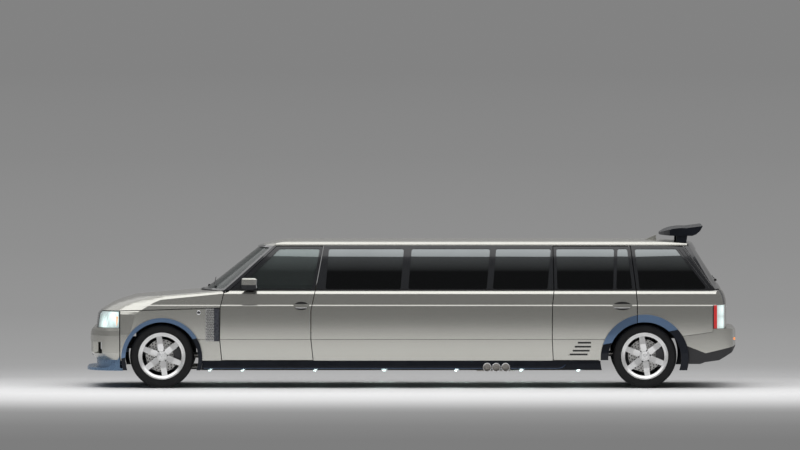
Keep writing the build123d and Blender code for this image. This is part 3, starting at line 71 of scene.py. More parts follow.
# Sizes read from the frame. XF and XR are the axles' places, and the tyres stand on the ground
FRONT_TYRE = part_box("front_left_tyre")
REAR_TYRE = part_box("rear_left_tyre")
XF = (FRONT_TYRE[0].x + FRONT_TYRE[1].x) / 2
XR = (REAR_TYRE[0].x + REAR_TYRE[1].x) / 2
TYRE_R = (FRONT_TYRE[1].z - FRONT_TYRE[0].z) / 2
TYRE_W = FRONT_TYRE[1].y - FRONT_TYRE[0].y
WHEEL_Y = -(FRONT_TYRE[0].y + FRONT_TYRE[1].y) / 2
RIM_R = (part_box("front_left_wheel")[1].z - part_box("front_left_wheel")[0].z) / 2
REAR_FLARE_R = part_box("arch_flares")[1].x - XR
ARCH_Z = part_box("arch_flares")[1].z - REAR_FLARE_R
BELT_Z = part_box("windscreen_frame")[0].z
GUTTER_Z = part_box("windscreen_frame")[1].z
SKIN_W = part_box("stretch_walls")[1].y
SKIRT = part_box("side_skirts")
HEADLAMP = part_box("headlamps")
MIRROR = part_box("front_left_mirror")

# The feature line along the sides
FEATURE_Z = 1.017
# The sides' slight crown below it: its middle's height, and how fast it falls away
CROWN_Z = 0.80
CROWN = 0.10
CROWN_TOP = FEATURE_Z - 0.02
# How far the glass leans in from the belt to the gutter, and how thick a door is
GLASS_LEAN = 0.137
DOOR_DEPTH = 0.105
# Slack that puts a colour's edge just past the edge of the faces it covers
EDGE_SLACK = 0.0005
# The louvres behind the rear doors' front edge, whose floors are painted black as shade: their span, and how far
# in their floors lie
LOUVRE_X = (XR - 0.92, XR - 0.65)
LOUVRE_Z = (0.38, 0.58)
LOUVRE_FLOOR = SKIN_W - 0.036
# Flares get a painted blue sheen above a line: its height at the wheel's centre, and its slope to the rear
SHEEN_LINES = [(XF, 0.50, 0.27), (XR, 0.64, 0.20)]


# Materials

# Noise mostly keeps to this span
NOISE_SPAN = (0.3, 0.7)


class Finish:
    """A procedural material: helpers add nodes whose result feeds the shader's sockets."""

    def __init__(self, name, colour, roughness, metallic=0.0):
        self.material = bpy.data.materials.new(name)
        self.material.use_nodes = True
        self.tree = self.material.node_tree
        self.shader = self.tree.nodes["Principled BSDF"]
        self.place = self.add("TexCoord").outputs["Object"]
        self.set("Base Color", (*colour, 1.0))
        self.set("Roughness", roughness)
        self.set("Metallic", metallic)
        axes = self.add("SeparateXYZ", self.place)
        self.x, self.y, self.z = axes.outputs

    def add(self, kind, *inputs, **settings):
        """A node with its first inputs linked or set, in order."""
        node = self.tree.nodes.new("ShaderNode" + kind)
        for key, value in settings.items():
            setattr(node, key, value)
        for socket, value in zip(node.inputs, inputs):
            self.feed(socket, value)
        return node

    def feed(self, socket, value):
        if isinstance(value, bpy.types.NodeSocket):
            self.tree.links.new(value, socket)
        elif value is not None:
            socket.default_value = value

    def set(self, socket, value):
        self.feed(self.shader.inputs[socket], value)
        return self

    def now(self, socket):
        """What the shader's socket holds: a node's result, a colour or a number."""
        held = self.shader.inputs[socket]
        if held.is_linked:
            return held.links[0].from_socket
        return tuple(held.default_value)[:3] if socket == "Base Color" else held.default_value

    def cover(self, share, colour, metallic=None, roughness=None):
        """Another surface where share is 1. What isn't given stays as it is."""
        self.set("Base Color", self.mix(share, self.now("Base Color"), colour))
        for socket, value in (("Metallic", metallic), ("Roughness", roughness)):
            if value is not None:
                self.set(socket, self.blend(share, self.now(socket), value))
        return self

    def math(self, operation, *inputs):
        return self.add("Math", *inputs, operation=operation).outputs[0]

    def plus(self, a, b):
        return self.math("ADD", a, b)

    def minus(self, a, b):
        return self.math("SUBTRACT", a, b)

    def times(self, a, b):
        return self.math("MULTIPLY", a, b)

    def either(self, a, b):
        return self.math("MAXIMUM", a, b)

    def above(self, value, limit):
        return self.math("GREATER_THAN", value, limit)

    def below(self, value, limit):
        return self.math("LESS_THAN", value, limit)

    def between(self, value, low, high):
        """1 where value is from low to high, with hard edges."""
        return self.times(self.above(value, low), self.below(value, high))

    def wave(self, value, rate):
        """A sine that runs through rate radians a unit of value."""
        return self.math("SINE", self.times(value, rate))

    def length(self, a, b):
        """The length of a step of a one way and b across it."""
        return self.math("SQRT", self.plus(self.times(a, a), self.times(b, b)))

    def from_centre(self):
        """Distance from the car's centre plane."""
        return self.math("ABSOLUTE", self.y)

    def distance(self, x, z):
        """Distance in the side plane from a point."""
        return self.length(self.minus(self.x, x), self.minus(self.z, z))

    def near(self, point):
        """Distance from a point on either side of the car."""
        place = self.add("CombineXYZ", self.x, self.from_centre(), self.z).outputs[0]
        return self.add("VectorMath", place, point, operation="DISTANCE").outputs["Value"]

    def noise(self, scale, detail, stretch=(1, 1, 1)):
        """Noise from 0 to 1, over object space scaled by stretch."""
        place = self.add("VectorMath", self.place, stretch, operation="MULTIPLY").outputs[0]
        node = self.add("TexNoise", place)
        node.inputs["Scale"].default_value = scale
        node.inputs["Detail"].default_value = detail
        return node.outputs["Fac"]

    def cells(self, scale):
        """Distance from the nearest of scattered points."""
        node = self.add("TexVoronoi", self.place)
        node.inputs["Scale"].default_value = scale
        return node.outputs["Distance"]

    def fade(self, value, start, end, low=0.0, high=1.0):
        """Low to high as value goes from start to end."""
        node = self.add("MapRange", value)
        for name, number in (("From Min", start), ("From Max", end), ("To Min", low), ("To Max", high)):
            node.inputs[name].default_value = number
        return node.outputs[0]

    def patches(self, noise, low, high):
        """Low to high over the noise's usual span."""
        return self.fade(noise, *NOISE_SPAN, low, high)

    def mix(self, share, a, b):
        """Colour a where share is 0, b where it is 1."""
        node = self.add("Mix", data_type="RGBA")
        for socket, value in zip((node.inputs[0], node.inputs[6], node.inputs[7]), (share, a, b)):
            self.feed(socket, (*value, 1.0) if isinstance(value, tuple) else value)
        return node.outputs[2]

    def blend(self, share, a, b):
        """Number a where share is 0, b where it is 1."""
        node = self.add("Mix", data_type="FLOAT")
        for socket, value in zip((node.inputs[0], node.inputs[2], node.inputs[3]), (share, a, b)):
            self.feed(socket, value)
        return node.outputs[0]

    def bump(self, height, strength, distance):
        node = self.add("Bump")
        node.inputs["Strength"].default_value = strength
        node.inputs["Distance"].default_value = distance
        self.feed(node.inputs["Height"], height)
        return self.set("Normal", node.outputs[0])

    def coat(self, weight, roughness):
        return self.set("Coat Weight", weight).set("Coat Roughness", roughness)


# Colours, as linear red, green and blue
PAINT = (0.56, 0.555, 0.515)
PAINT_DARK = (0.50, 0.495, 0.455)
BLACK = (0.010, 0.011, 0.013)
# The styling kit's painted blue sheen
KIT_SHEEN_BLUE = (0.15, 0.235, 0.38)
KIT_DARK = (0.008, 0.010, 0.015)
CABIN_DARK = (0.03, 0.03, 0.032)
LAMP_WHITE = (0.80, 1.0, 0.97)
LEATHER = (0.50, 0.43, 0.33)
# Painted shade deep in the wheels: their barrels and nut pockets
WHEEL_DEPTH_SHADE = (0.012, 0.012, 0.013)
HEAD_GLASS = (0.50, 0.60, 0.60)
TAIL_GLASS = (0.55, 0.60, 0.60)
TAIL_RED = (0.42, 0.012, 0.012)
TAIL_GLOW = (0.8, 0.02, 0.02)


def scaled(colour, share):
    return tuple(share * channel for channel in colour)


def flakes(finish):
    """The paint's fine metallic flakes, and a slow drift of tone over the panels."""
    share = finish.plus(finish.times(finish.noise(900, 2), 0.5), finish.times(finish.noise(1.3, 2), 0.4))
    return finish.mix(share, PAINT, PAINT_DARK)


def blue_share(finish):
    """1 where the styling kit has its painted blue sheen, 0 where it is black."""
    shares = []
    for centre, height, slope in SHEEN_LINES:
        level = finish.plus(finish.times(finish.minus(finish.x, centre), slope), height)
        shares.append(finish.above(finish.z, level))
    return finish.blend(finish.above(finish.x, 0.0), *shares)


def paint_finish(name, roughness, side=False, flare=False):
    """Metallic paint. A side is gloss black above the belt and has cabin trim inside the skin.

    The rear door, which reaches into the wheel arch, also has louvres whose floors are painted dark as shade,
    and the flare's front with its painted blue sheen.
    """
    finish = Finish(name, PAINT, roughness, 0.92)
    finish.set("Base Color", flakes(finish))
    if side:
        finish.cover(finish.above(finish.z, BELT_Z - EDGE_SLACK), BLACK, 0.0, 0.12)
    if flare:
        # Painted shade: the louvres' sunk floors are coloured black
        slots = finish.times(finish.between(finish.z, *LOUVRE_Z), finish.between(finish.x, *LOUVRE_X))
        sunk = finish.times(finish.below(finish.from_centre(), LOUVRE_FLOOR), slots)
        finish.cover(sunk, BLACK, 0.0)
        on_flare = finish.below(finish.distance(XR, ARCH_Z), REAR_FLARE_R + 2 * EDGE_SLACK)
        # The flare's front takes the kit's painted blue sheen above its line
        finish.cover(on_flare, finish.mix(blue_share(finish), KIT_DARK, KIT_SHEEN_BLUE), roughness=0.3)
    if side:
        lean = finish.fade(finish.z, BELT_Z, GUTTER_Z, 0.0, GLASS_LEAN)
        inside = finish.below(finish.plus(finish.from_centre(), lean), SKIN_W - DOOR_DEPTH)
        finish.cover(inside, CABIN_DARK, 0.0, 0.6)
    from_crown = finish.minus(finish.math("MINIMUM", finish.z, CROWN_TOP), CROWN_Z)
    square = finish.times(from_crown, from_crown)
    return finish.bump(finish.times(square, -CROWN), 1.0, 1.0).coat(0.4, 0.02)


def mirror_finish():
    """Painted cap over a black lower half."""
    finish = Finish("mirror_cap", PAINT, 0.24, 0.9)
    low = finish.below(finish.z, MIRROR[0].z + 0.45 * (MIRROR[1].z - MIRROR[0].z))
    return finish.set("Base Color", flakes(finish)).cover(low, BLACK, 0.0, 0.35).coat(0.8, 0.03)


def kit_finish():
    """Styling kit: black pearl, with a painted blue sheen on its upper faces, above a line."""
    finish = Finish("kit_pearl", KIT_DARK, 0.3, 0.5)
    share = blue_share(finish)
    grain = finish.noise(700, 2)
    # The painted sheen's blue, and the black below it, each with a fine grain
    blue = finish.mix(grain, KIT_SHEEN_BLUE, scaled(KIT_SHEEN_BLUE, 0.8))
    dark = finish.mix(grain, KIT_DARK, scaled(KIT_DARK, 1.6))
    finish.set("Base Color", finish.mix(share, dark, blue))
    finish.set("Roughness", finish.blend(share, 0.5, 0.28))
    return finish.set("Specular IOR Level", 0.3).coat(0.12, 0.05)


def pearl_finish(name, dark, light, roughness):
    """A satin pearl with a slow drift between two tones of one colour."""
    finish = Finish(name, dark, roughness, 0.4)
    finish.set("Base Color", finish.mix(finish.noise(4, 3), dark, light))
    finish.set("Roughness", finish.patches(finish.noise(9, 3), roughness * 0.8, roughness * 1.3))
    return finish.set("Specular IOR Level", 0.3).coat(0.15, 0.03)


def gloss_black_finish():
    finish = Finish("gloss_black", BLACK, 0.15)
    finish.set("Roughness", finish.patches(finish.noise(9, 3), 0.08, 0.2))
    finish.set("Base Color", finish.mix(finish.noise(3, 2), BLACK, (0.018, 0.019, 0.023)))
    return finish.coat(1.0, 0.03)


def grained_finish(name, colour, roughness, grain, tones, relief, metallic=0.0):
    """A grained surface: the grain's scale and detail, its two tones, and its relief."""
    finish = Finish(name, colour, roughness, metallic)
    height = finish.noise(*grain)
    return finish.set("Base Color", finish.mix(height, *tones)).bump(height, *relief)


def rubber_finish():
    """Tyre rubber, a little greyer and duller in patches."""
    finish = grained_finish("tyre_rubber", (0.02, 0.02, 0.021), 0.55, (260, 4),
                            ((0.006, 0.006, 0.0065), (0.014, 0.014, 0.015)), (0.3, 0.0006))
    finish.set("Specular IOR Level", 0.25)
    return finish.set("Roughness", finish.patches(finish.noise(14, 4), 0.5, 0.72))


def glass_finish(name, colour, alpha, metallic=0.0, roughness=0.02, shade=None):
    """Tinted glass: what is behind shows through by 1 minus alpha at each face.

    shade is the dark tone of the panes' lower half; the colour grows lighter to the top, a painted
    reflection of the sky as barrelled panes mirror it.
    """
    finish = Finish(name, colour, roughness, metallic)
    streaks = finish.noise(2.2, 2, (1, 1, 0.3))
    toned = finish.mix(streaks, colour, scaled(colour, 0.85))
    if shade is not None:
        # Painted sky reflection: the colour rises from shade to the glass's tint towards the top
        rise = finish.fade(finish.z, BELT_Z + 0.42 * (GUTTER_Z - BELT_Z), GUTTER_Z - 0.05)
        toned = finish.mix(finish.math("POWER", rise, 0.8), shade, toned)
    finish.set("Base Color", toned).set("Alpha", alpha).set("IOR", 1.52)
    finish.material.surface_render_method = "BLENDED"
    return finish.coat(0.3, 0.01)


def polished_finish(name, colour, roughness, metallic):
    """Aluminium with faint turning marks."""
    finish = Finish(name, colour, roughness, metallic)
    marks = finish.noise(60, 3, (1, 8, 1))
    finish.set("Roughness", finish.patches(marks, roughness * 0.7, roughness * 1.6))
    return finish.set("Base Color", finish.mix(finish.noise(18, 3), colour, scaled(colour, 0.86)))


# The wheels' parts by distance from the centre plane and from the axle
DISC_R = 0.203
DISC_Y = WHEEL_Y - 0.010
BARREL_Y = WHEEL_Y + 0.066
POCKET_Y = WHEEL_Y + 0.080
NUT_CIRCLE_R = 0.074
POCKET_HALF = 0.0088
# The brake disc's holes: rows and sweep in radians a metre, how many round, and how small
HOLE_ROWS = 210.0
HOLE_SWEEP = 90.0
HOLES_ROUND = 24.0
HOLE_EDGE = 0.55
# The disc's turning marks, in radians a metre
DISC_RINGS = 1400.0


def wheel_finish(name, axle_x):
    """Polished spokes and lip, barrel and nut pockets painted dark as shade, and a drilled brake disc."""
    finish = Finish(name, (0.80, 0.80, 0.80), 0.12, 1.0)
    radius = finish.distance(axle_x, TYRE_R)
    depth = finish.from_centre()
    disc = finish.times(finish.below(depth, DISC_Y), finish.below(radius, DISC_R))
    barrel = finish.times(finish.below(depth, BARREL_Y), finish.above(radius, DISC_R))
    pocket = finish.times(finish.between(radius, NUT_CIRCLE_R - POCKET_HALF, NUT_CIRCLE_R + POCKET_HALF),
                          finish.below(depth, POCKET_Y))
    angle = finish.math("ARCTAN2", finish.minus(finish.z, TYRE_R), finish.minus(finish.x, axle_x))
    turn = finish.plus(finish.times(angle, HOLES_ROUND), finish.times(radius, HOLE_SWEEP))
    holes = finish.times(finish.above(finish.wave(radius, HOLE_ROWS), 0.0),
                         finish.above(finish.math("SINE", turn), HOLE_EDGE))
    drilled = finish.mix(holes, (0.88, 0.87, 0.85), (0.05, 0.05, 0.05))
    face = finish.mix(finish.noise(14, 3), (0.90, 0.90, 0.90), (0.80, 0.80, 0.79))
    finish.set("Base Color", finish.mix(disc, face, drilled))
    finish.set("Metallic", finish.blend(disc, 0.72, 0.35))
    finish.set("Roughness", finish.blend(disc, 0.3, 0.4))
    # Painted shade: the barrel and the nut pockets, deep in the wheel, are coloured dark
    finish.cover(finish.either(barrel, pocket), WHEEL_DEPTH_SHADE, 0.0, 0.5)
    return finish.bump(finish.times(finish.wave(radius, DISC_RINGS), disc), 0.15, 0.0003)


def chrome_finish():
    finish = Finish("bright_trim", (0.82, 0.82, 0.83), 0.07, 1.0)
    finish.set("Roughness", finish.patches(finish.noise(25, 3), 0.04, 0.12))
    return finish.set("Base Color", finish.mix(finish.noise(6, 2), (0.84, 0.84, 0.85), (0.74, 0.74, 0.76)))


# The wing vent's dark strip starts this share back, and its mesh is painted dark below this face, as shade in
# its depth
VENT_STRIP = 0.62
VENT_FLOOR_Y = 0.9485


def vent_finish():
    """The wing vent: bright mesh ahead, a dark pearl strip behind it, and painted shade on the mesh's deeper
    parts.
    """
    low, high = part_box("wing_vents")
    finish = Finish("vent_mesh", (0.5, 0.5, 0.5), 0.25, 1.0)
    strip = finish.above(finish.x, low.x + VENT_STRIP * (high.x - low.x))
    # dark is the strip's own colour, and painted shade on the mesh below its face
    dark = finish.either(strip, finish.below(finish.from_centre(), VENT_FLOOR_Y))
    finish.set("Base Color", finish.mix(dark, (0.55, 0.55, 0.54), (0.05, 0.053, 0.065)))
    finish.set("Metallic", finish.blend(dark, 1.0, 0.3))
    return finish.set("Roughness", finish.patches(finish.noise(30, 3), 0.2, 0.34))


def pipe_finish():
    """Brushed stainless steel with a faint heat tint."""
    finish = Finish("pipe_steel", (0.5, 0.5, 0.5), 0.28, 1.0)
    finish.set("Base Color", finish.mix(finish.noise(1.6, 3), (0.52, 0.52, 0.53), (0.40, 0.36, 0.31)))
    return finish.set("Roughness", finish.patches(finish.noise(90, 4, (0.05, 6, 6)), 0.2, 0.42))


def cabin_finish():
    """Grained soft-touch trim."""
    finish = Finish("cabin_trim", CABIN_DARK, 0.6)
    grain = finish.cells(380)
    finish.set("Base Color", finish.mix(grain, (0.024, 0.024, 0.026), (0.045, 0.044, 0.046)))
    return finish.bump(grain, 0.25, 0.0005)


def leather_finish():
    """Pebbled leather with worn, darker hollows."""
    finish = Finish("seat_leather", LEATHER, 0.45)
    wear = finish.noise(5, 4)
    finish.set("Base Color", finish.mix(wear, LEATHER, scaled(LEATHER, 0.72)))
    finish.set("Roughness", finish.patches(wear, 0.36, 0.55))
    return finish.bump(finish.cells(330), 0.35, 0.0008)


def lamp_finish(name, colour, strength):
    """A lit lens, a little uneven over its face."""
    finish = Finish(name, colour, 0.2).set("Emission Color", (*colour, 1.0))
    finish.set("Emission Strength", finish.patches(finish.noise(40, 2), strength * 0.8, strength * 1.2))
    return finish.coat(0.5, 0.02)


# Bright spots in the lit lamps, as (x, distance from the centre plane, z), and how far they reach
HEAD_SPOTS = [(XF - 0.616, 0.86, 0.868), (XF - 0.720, 0.74, 0.785)]
TAIL_SPOTS = [(XR + 0.985, 0.90, 0.965), (XR + 0.985, 0.90, 0.800)]
SPOT_REACH = (0.02, 0.15)
# How bright a lit lamp is away from its spots, and its flutes in radians a metre
LAMP_BASE = 0.12
FLUTE_ROWS = 420.0
FLUTE_COLUMNS = 300.0


def prism_finish(name, spots, bright, glass):
    """Fluted lamp glass lit from within, brightest at its bulbs."""
    finish = Finish(name, glass, 0.12)
    glow = finish.either(*[finish.fade(finish.near(spot), *SPOT_REACH, 1.0, 0.0) for spot in spots])
    ridges = finish.plus(finish.wave(finish.z, FLUTE_ROWS),
                         finish.wave(finish.plus(finish.x, finish.y), FLUTE_COLUMNS))
    flutes = finish.fade(ridges, -1.5, 1.5, 0.55, 1.0)
    finish.set("Emission Color", (*LAMP_WHITE, 1.0))
    finish.set("Emission Strength",
               finish.times(finish.plus(finish.times(glow, bright), LAMP_BASE), flutes))
    return finish.bump(ridges, 0.3, 0.002).coat(1.0, 0.01)


# The tail lamp: its red band on the side, and its red rear face, which ends short of its outer edge
TAIL_BAND = (XR + 0.849, XR + 0.888)
TAIL_FACE_X = XR + 1.000
TAIL_FACE_Y = 0.87
TAIL_RED_STRENGTH = 0.25


def tail_lamp_finish():
    """Dark edge, red band and lit clear glass at the side; red on the rear face up to the lit corner."""
    finish = prism_finish("tail_lamp", TAIL_SPOTS, 1.1, TAIL_GLASS)
    edge = finish.below(finish.x, TAIL_BAND[0])
    rear = finish.times(finish.above(finish.x, TAIL_FACE_X), finish.below(finish.from_centre(), TAIL_FACE_Y))
    red = finish.either(finish.between(finish.x, *TAIL_BAND), rear)
    finish.set("Base Color", finish.mix(edge, finish.mix(red, TAIL_GLASS, TAIL_RED), BLACK))
    faint = finish.blend(edge, TAIL_RED_STRENGTH, 0.0)
    level = finish.blend(finish.either(red, edge), finish.now("Emission Strength"), faint)
    finish.set("Emission Strength", level)
    return finish.set("Emission Color", finish.mix(red, LAMP_WHITE, TAIL_GLOW))


FINISHES = {
    "paint": paint_finish("paint", 0.27),
    "paint_side": paint_finish("paint_side", 0.17, side=True),
    "paint_rear_door": paint_finish("paint_rear_door", 0.17, side=True, flare=True),
    "mirror_cap": mirror_finish(),
    "kit": kit_finish(),
    "pearl_black": pearl_finish("pearl_black", (0.004, 0.005, 0.008), (0.008, 0.011, 0.018), 0.35),
    "pearl_blue": pearl_finish("pearl_blue", (0.03, 0.05, 0.09), (0.05, 0.08, 0.14), 0.3),
    "plate": pearl_finish("plate", (0.50, 0.50, 0.48), (0.56, 0.56, 0.54), 0.4),
    "pearl_canard": pearl_finish("pearl_canard", (0.10, 0.17, 0.28), (0.16, 0.25, 0.37), 0.26),
    "gloss_black": gloss_black_finish(),
    "matte_black": grained_finish("matte_black", (0.03, 0.03, 0.032), 0.6, (420, 4),
                                  ((0.018, 0.018, 0.02), (0.034, 0.034, 0.036)), (0.25, 0.0006)),
    # Both side glasses carry a painted sky reflection, dark below and lighter to the top
    "dark_glass": glass_finish("dark_glass", (0.25, 0.275, 0.28), 0.97, 0.9, shade=(0.008, 0.009, 0.01)),
    "door_glass": glass_finish("door_glass", (0.26, 0.31, 0.305), 0.72, 0.75, shade=(0.055, 0.07, 0.068)),
    "clear_glass": glass_finish("clear_glass", (0.035, 0.05, 0.048), 0.55, 0.3, 0.08),
    "lens": glass_finish("lens", (0.7, 0.78, 0.78), 0.12),
    "wheel_front": wheel_finish("wheel_front", XF),
    "wheel_rear": wheel_finish("wheel_rear", XR),
    "polished": polished_finish("polished", (0.80, 0.80, 0.81), 0.10, 1.0),
    "satin": polished_finish("satin_alloy", (0.9, 0.9, 0.9), 0.3, 0.5),
    "chrome": chrome_finish(),
    "vent": vent_finish(),
    "rubber": rubber_finish(),
    "cast": grained_finish("cast_metal", (0.10, 0.10, 0.105), 0.55, (150, 5),
                           ((0.07, 0.07, 0.075), (0.15, 0.15, 0.155)), (0.4, 0.0015), 0.5),
    "pipe": pipe_finish(),
    "underbody": grained_finish("underbody", (0.03, 0.03, 0.031), 0.62, (180, 4),
                                ((0.018, 0.018, 0.019), (0.036, 0.036, 0.037)), (0.35, 0.001)),
    "cabin": cabin_finish(),
    "leather": leather_finish(),
    "head_prism": prism_finish("head_prism", HEAD_SPOTS, 1.3, HEAD_GLASS),
    "tail_lamp": tail_lamp_finish(),
    "amber": lamp_finish("amber_lens", (1.0, 0.36, 0.12), 0.8),
    "puddle": lamp_finish("puddle_lamp", LAMP_WHITE, 1.6),
}

# The CAD nodes by finish. {} stands for left and right
DRESSED = {
    "paint": ["front_wings", "front_bumper", "roof_panel", "rear_bumper", "bonnet", "lower_tailgate"],
    "paint_side": ["stretch_walls", "quarter_panels", "front_{}_door"],
    "paint_rear_door": ["rear_{}_door"],
    "mirror_cap": ["front_{}_mirror"],
    "kit": ["arch_flares"],
    "pearl_black": ["side_skirts", "roof_spoiler"],
    "pearl_canard": ["front_splitter"],
    "gloss_black": ["front_grilles", "windscreen_frame", "upper_tailgate"],
    "matte_black": ["scuttle_panel", "rear_diffuser"],
    "dark_glass": ["saloon_windows", "tailgate_glass", "rear_{}_door_glass"],
    "door_glass": ["front_{}_door_glass"],
    "clear_glass": ["windscreen"],
    "lens": ["headlamps"],
    "wheel_front": ["front_{}_wheel"],
    "wheel_rear": ["rear_{}_wheel"],
    "vent": ["wing_vents"],
    "rubber": ["front_{}_tyre", "rear_{}_tyre"],
    "cast": ["engine_block", "front_suspension", "rear_suspension", "front_{}_knuckle"],
    "pipe": ["propshaft", "exhaust_system"],
    "underbody": ["floor_pan", "front_structure", "bulkhead", "headlamp_carrier"],
    "cabin": ["dashboard", "steering_wheel", "cabin_partition"],
    "leather": ["front_seats", "lounge_seats", "rear_bench"],
    "tail_lamp": ["tail_lamps"],
    "puddle": ["skirt_lamps"],
}


def dress_nodes():
    for finish, patterns in DRESSED.items():
        for node in {pattern.format(side) for pattern in patterns for side in SIDES}:
            materials = NODES[node].data.materials
            materials.clear()
            materials.append(FINISHES[finish].material)


# Mesh helpers

def piece(name, verts, faces, finish, body="root", slot=None, smooth=35):
    """A mesh object on a body. smooth is the angle, in degrees, under which edges shade round."""
    mesh = bpy.data.meshes.new(name)
    mesh.from_pydata([tuple(v) for v in verts], [], faces)
    mesh.materials.append(FINISHES[finish].material)
    mesh.polygons.foreach_set("use_smooth", [True] * len(mesh.polygons))
    mesh.set_sharp_from_angle(angle=math.radians(smooth))
    thing = bpy.data.objects.new(name, mesh)
    bpy.context.scene.collection.objects.link(thing)
    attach(thing, body)
    return thing


def spread(start, end, steps):
    """Numbers at even steps from start to end, with both ends."""
    return [start + (end - start) * i / steps for i in range(steps + 1)]


def around(steps):
    """Even angles once round a circle."""
    return [2 * math.pi * i / steps for i in range(steps)]


def ring_point(angle, radius, y=0.0):
    """A point at an angle and a radius round the Y axis."""
    return Vector((radius * math.cos(angle), y, radius * math.sin(angle)))


def band(a, b, count, turned=False):
    """Faces between two rings of count points that start at a and b. turned faces them the other way."""
    faces = []
    for k in range(count):
        n = (k + 1) % count
        faces.append((a + k, a + n, b + n, b + k) if turned else (a + k, b + k, b + n, a + n))
    return faces


def bands(rows, count, turned=False):
    """Faces between each of rows rings and the next."""
    return [face for row in range(rows - 1) for face in band(row * count, (row + 1) * count, count, turned)]


def lathe(profile, steps):
    """Rings of (distance along Y, radius) turned about Y. The profile is a closed loop."""
    verts = []
    for angle in around(steps):
        verts += [ring_point(angle, r, y) for y, r in profile]
    return verts, turned_faces(steps, len(profile))


def turned_faces(steps, count):
    """Faces between profiles of count points at even steps round an axle."""
    faces = []
    for i in range(steps):
        faces += band(i * count, (i + 1) % steps * count, count, turned=True)
    return faces


def tube(path, radius, sides=8, flat=1.0, closed=False):
    """A tube along points; flat squeezes it in height."""
    points = [Vector(p) for p in path]
    count = len(points)
    verts, faces = [], []
    for i, point in enumerate(points):
        before = points[(i - 1) % count] if closed or i else point
        after = points[(i + 1) % count] if closed or i < count - 1 else point
        along = (after - before).normalized()
        side = along.cross(Vector((0, 0, 1)))
        side = side.normalized() if side.length > 0.05 else along.cross(Vector((0, 1, 0))).normalized()
        up = side.cross(along)
        for angle in around(sides):
            verts.append(point + side * radius * math.cos(angle) + up * radius * flat * math.sin(angle))
    for i in range(count if closed else count - 1):
        faces += band(i * sides, (i + 1) % count * sides, sides)
    if not closed:
        faces.append(tuple(range(sides)))
        faces.append(tuple(reversed(range((count - 1) * sides, count * sides))))
    return verts, faces


def taken(mesh):
    """The points and faces of a bmesh, which is freed."""
    verts = [vert.co.copy() for vert in mesh.verts]
    faces = [tuple(vert.index for vert in face.verts) for face in mesh.faces]
    mesh.free()
    return verts, faces


def bevelled(low, high, radius):
    """A box with rounded edges between two corners."""
    mesh = bmesh.new()
    bmesh.ops.create_cube(mesh, size=1.0)
    low, high = Vector(low), Vector(high)
    for vert in mesh.verts:
        share = vert.co + Vector((0.5, 0.5, 0.5))
        vert.co = Vector([low[k] + share[k] * (high[k] - low[k]) for k in range(3)])
    bmesh.ops.bevel(mesh, geom=mesh.edges[:], offset=radius, segments=3, affect="EDGES", profile=0.5)
    return taken(mesh)


def joined(shapes):
    """Several (verts, faces) as one."""
    verts, faces = [], []
    for shape_verts, shape_faces in shapes:
        start = len(verts)
        verts += shape_verts
        faces += [tuple(start + i for i in face) for face in shape_faces]
    return verts, faces


def flipped(shape, side):
    """The left-hand shape, or its mirror image on the right."""
    verts, faces = shape
    if side < 0:
        return shape
    return [Vector((v.x, -v.y, v.z)) for v in verts], [face[::-1] for face in faces]


def moved(shape, offset):
    return [v + Vector(offset) for v in shape[0]], shape[1]


def pair(name, shape, finish, body="root", smooth=35):
    """A left-hand shape and its mirror image as pieces. {} in a name stands for the side."""
    for side, sign in SIDES.items():
        piece(name.format(side), *flipped(shape, sign), finish, body.format(side), smooth=smooth)


# Rays start this far out, which is clear of the car
RAY_START_X = 8.0
RAY_START_Y = 3.0
TREES = {}


def hit(node, start, way):
    """Where a ray meets a node."""
    if node not in TREES:
        mesh = NODES[node].data
        TREES[node] = BVHTree.FromPolygons([v.co for v in mesh.vertices], [p.vertices for p in mesh.polygons])
    place = TREES[node].ray_cast(Vector(start), Vector(way))[0]
    if place is None:
        raise ValueError(f"no face of {node} on the line from {start}")
    return place


def skin(node, x, z):
    """Distance from the centre plane of a node's outer face."""
    return abs(hit(node, (x, -RAY_START_Y, z), (0, 1, 0)).y)


# The car's ends, as the way out of them along X
NOSE = -1
TAIL = 1


def end_face(node, end, y, z):
    """Where a node's face is first met from one end of the car."""
    return hit(node, (end * RAY_START_X, y, z), (-end, 0, 0))


# Tyres

TREAD_STEPS = 72
TREAD_RIBS = 5
GROOVE_DEPTH = 0.007
GROOVE_HALF = 0.005
# The tread starts this far in from the wall, falls away to it, and has cross slots in its outer ribs
SHOULDER = 0.026
TREAD_FALL = 0.004
SLOT_FROM_Y = 0.06
SLOT_SHARE = 0.75
# How far the slots sweep round, in radians a metre from the tyre's middle
SLOT_SWEEP = 0.16
# The bead stands just off the rim, and the wall has a kerb rib, as (distance in from the wall, radius)
BEAD_R = RIM_R + 0.0003
WALL = [(0.028, RIM_R - 0.0295), (0.0165, BEAD_R), (0.006, BEAD_R + 0.006), (0.001, 0.312), (0.0035, 0.320),
        (0.0, 0.334), (0.0, 0.352), (0.0035, 0.366), (0.009, 0.3765), (0.017, 0.3855)]


def tread_radius(y):
    return TYRE_R - TREAD_FALL * (abs(y) / (TYRE_W / 2)) ** 2


def tyre_profile():
    """The section from one bead over the tread to the other, as (distance from the middle, radius)."""
    wall = [(inset - TYRE_W / 2, r) for inset, r in WALL]
    start = SHOULDER - TYRE_W / 2
    pitch = -2 * start / TREAD_RIBS
    tread = []
    for i in range(TREAD_RIBS):
        low, high = start + i * pitch, start + (i + 1) * pitch
        first, last = i == 0, i == TREAD_RIBS - 1
        left = low if first else low + GROOVE_HALF
        right = high if last else high - GROOVE_HALF
        if not first:
            tread += [(low, tread_radius(low) - GROOVE_DEPTH), (left, tread_radius(low) - GROOVE_DEPTH)]
        tread += [(left, tread_radius(low)), (right, tread_radius(high))]
        if not last:
            tread += [(right, tread_radius(high) - GROOVE_DEPTH)]
    return wall + tread + [(-y, r) for y, r in wall[::-1]]


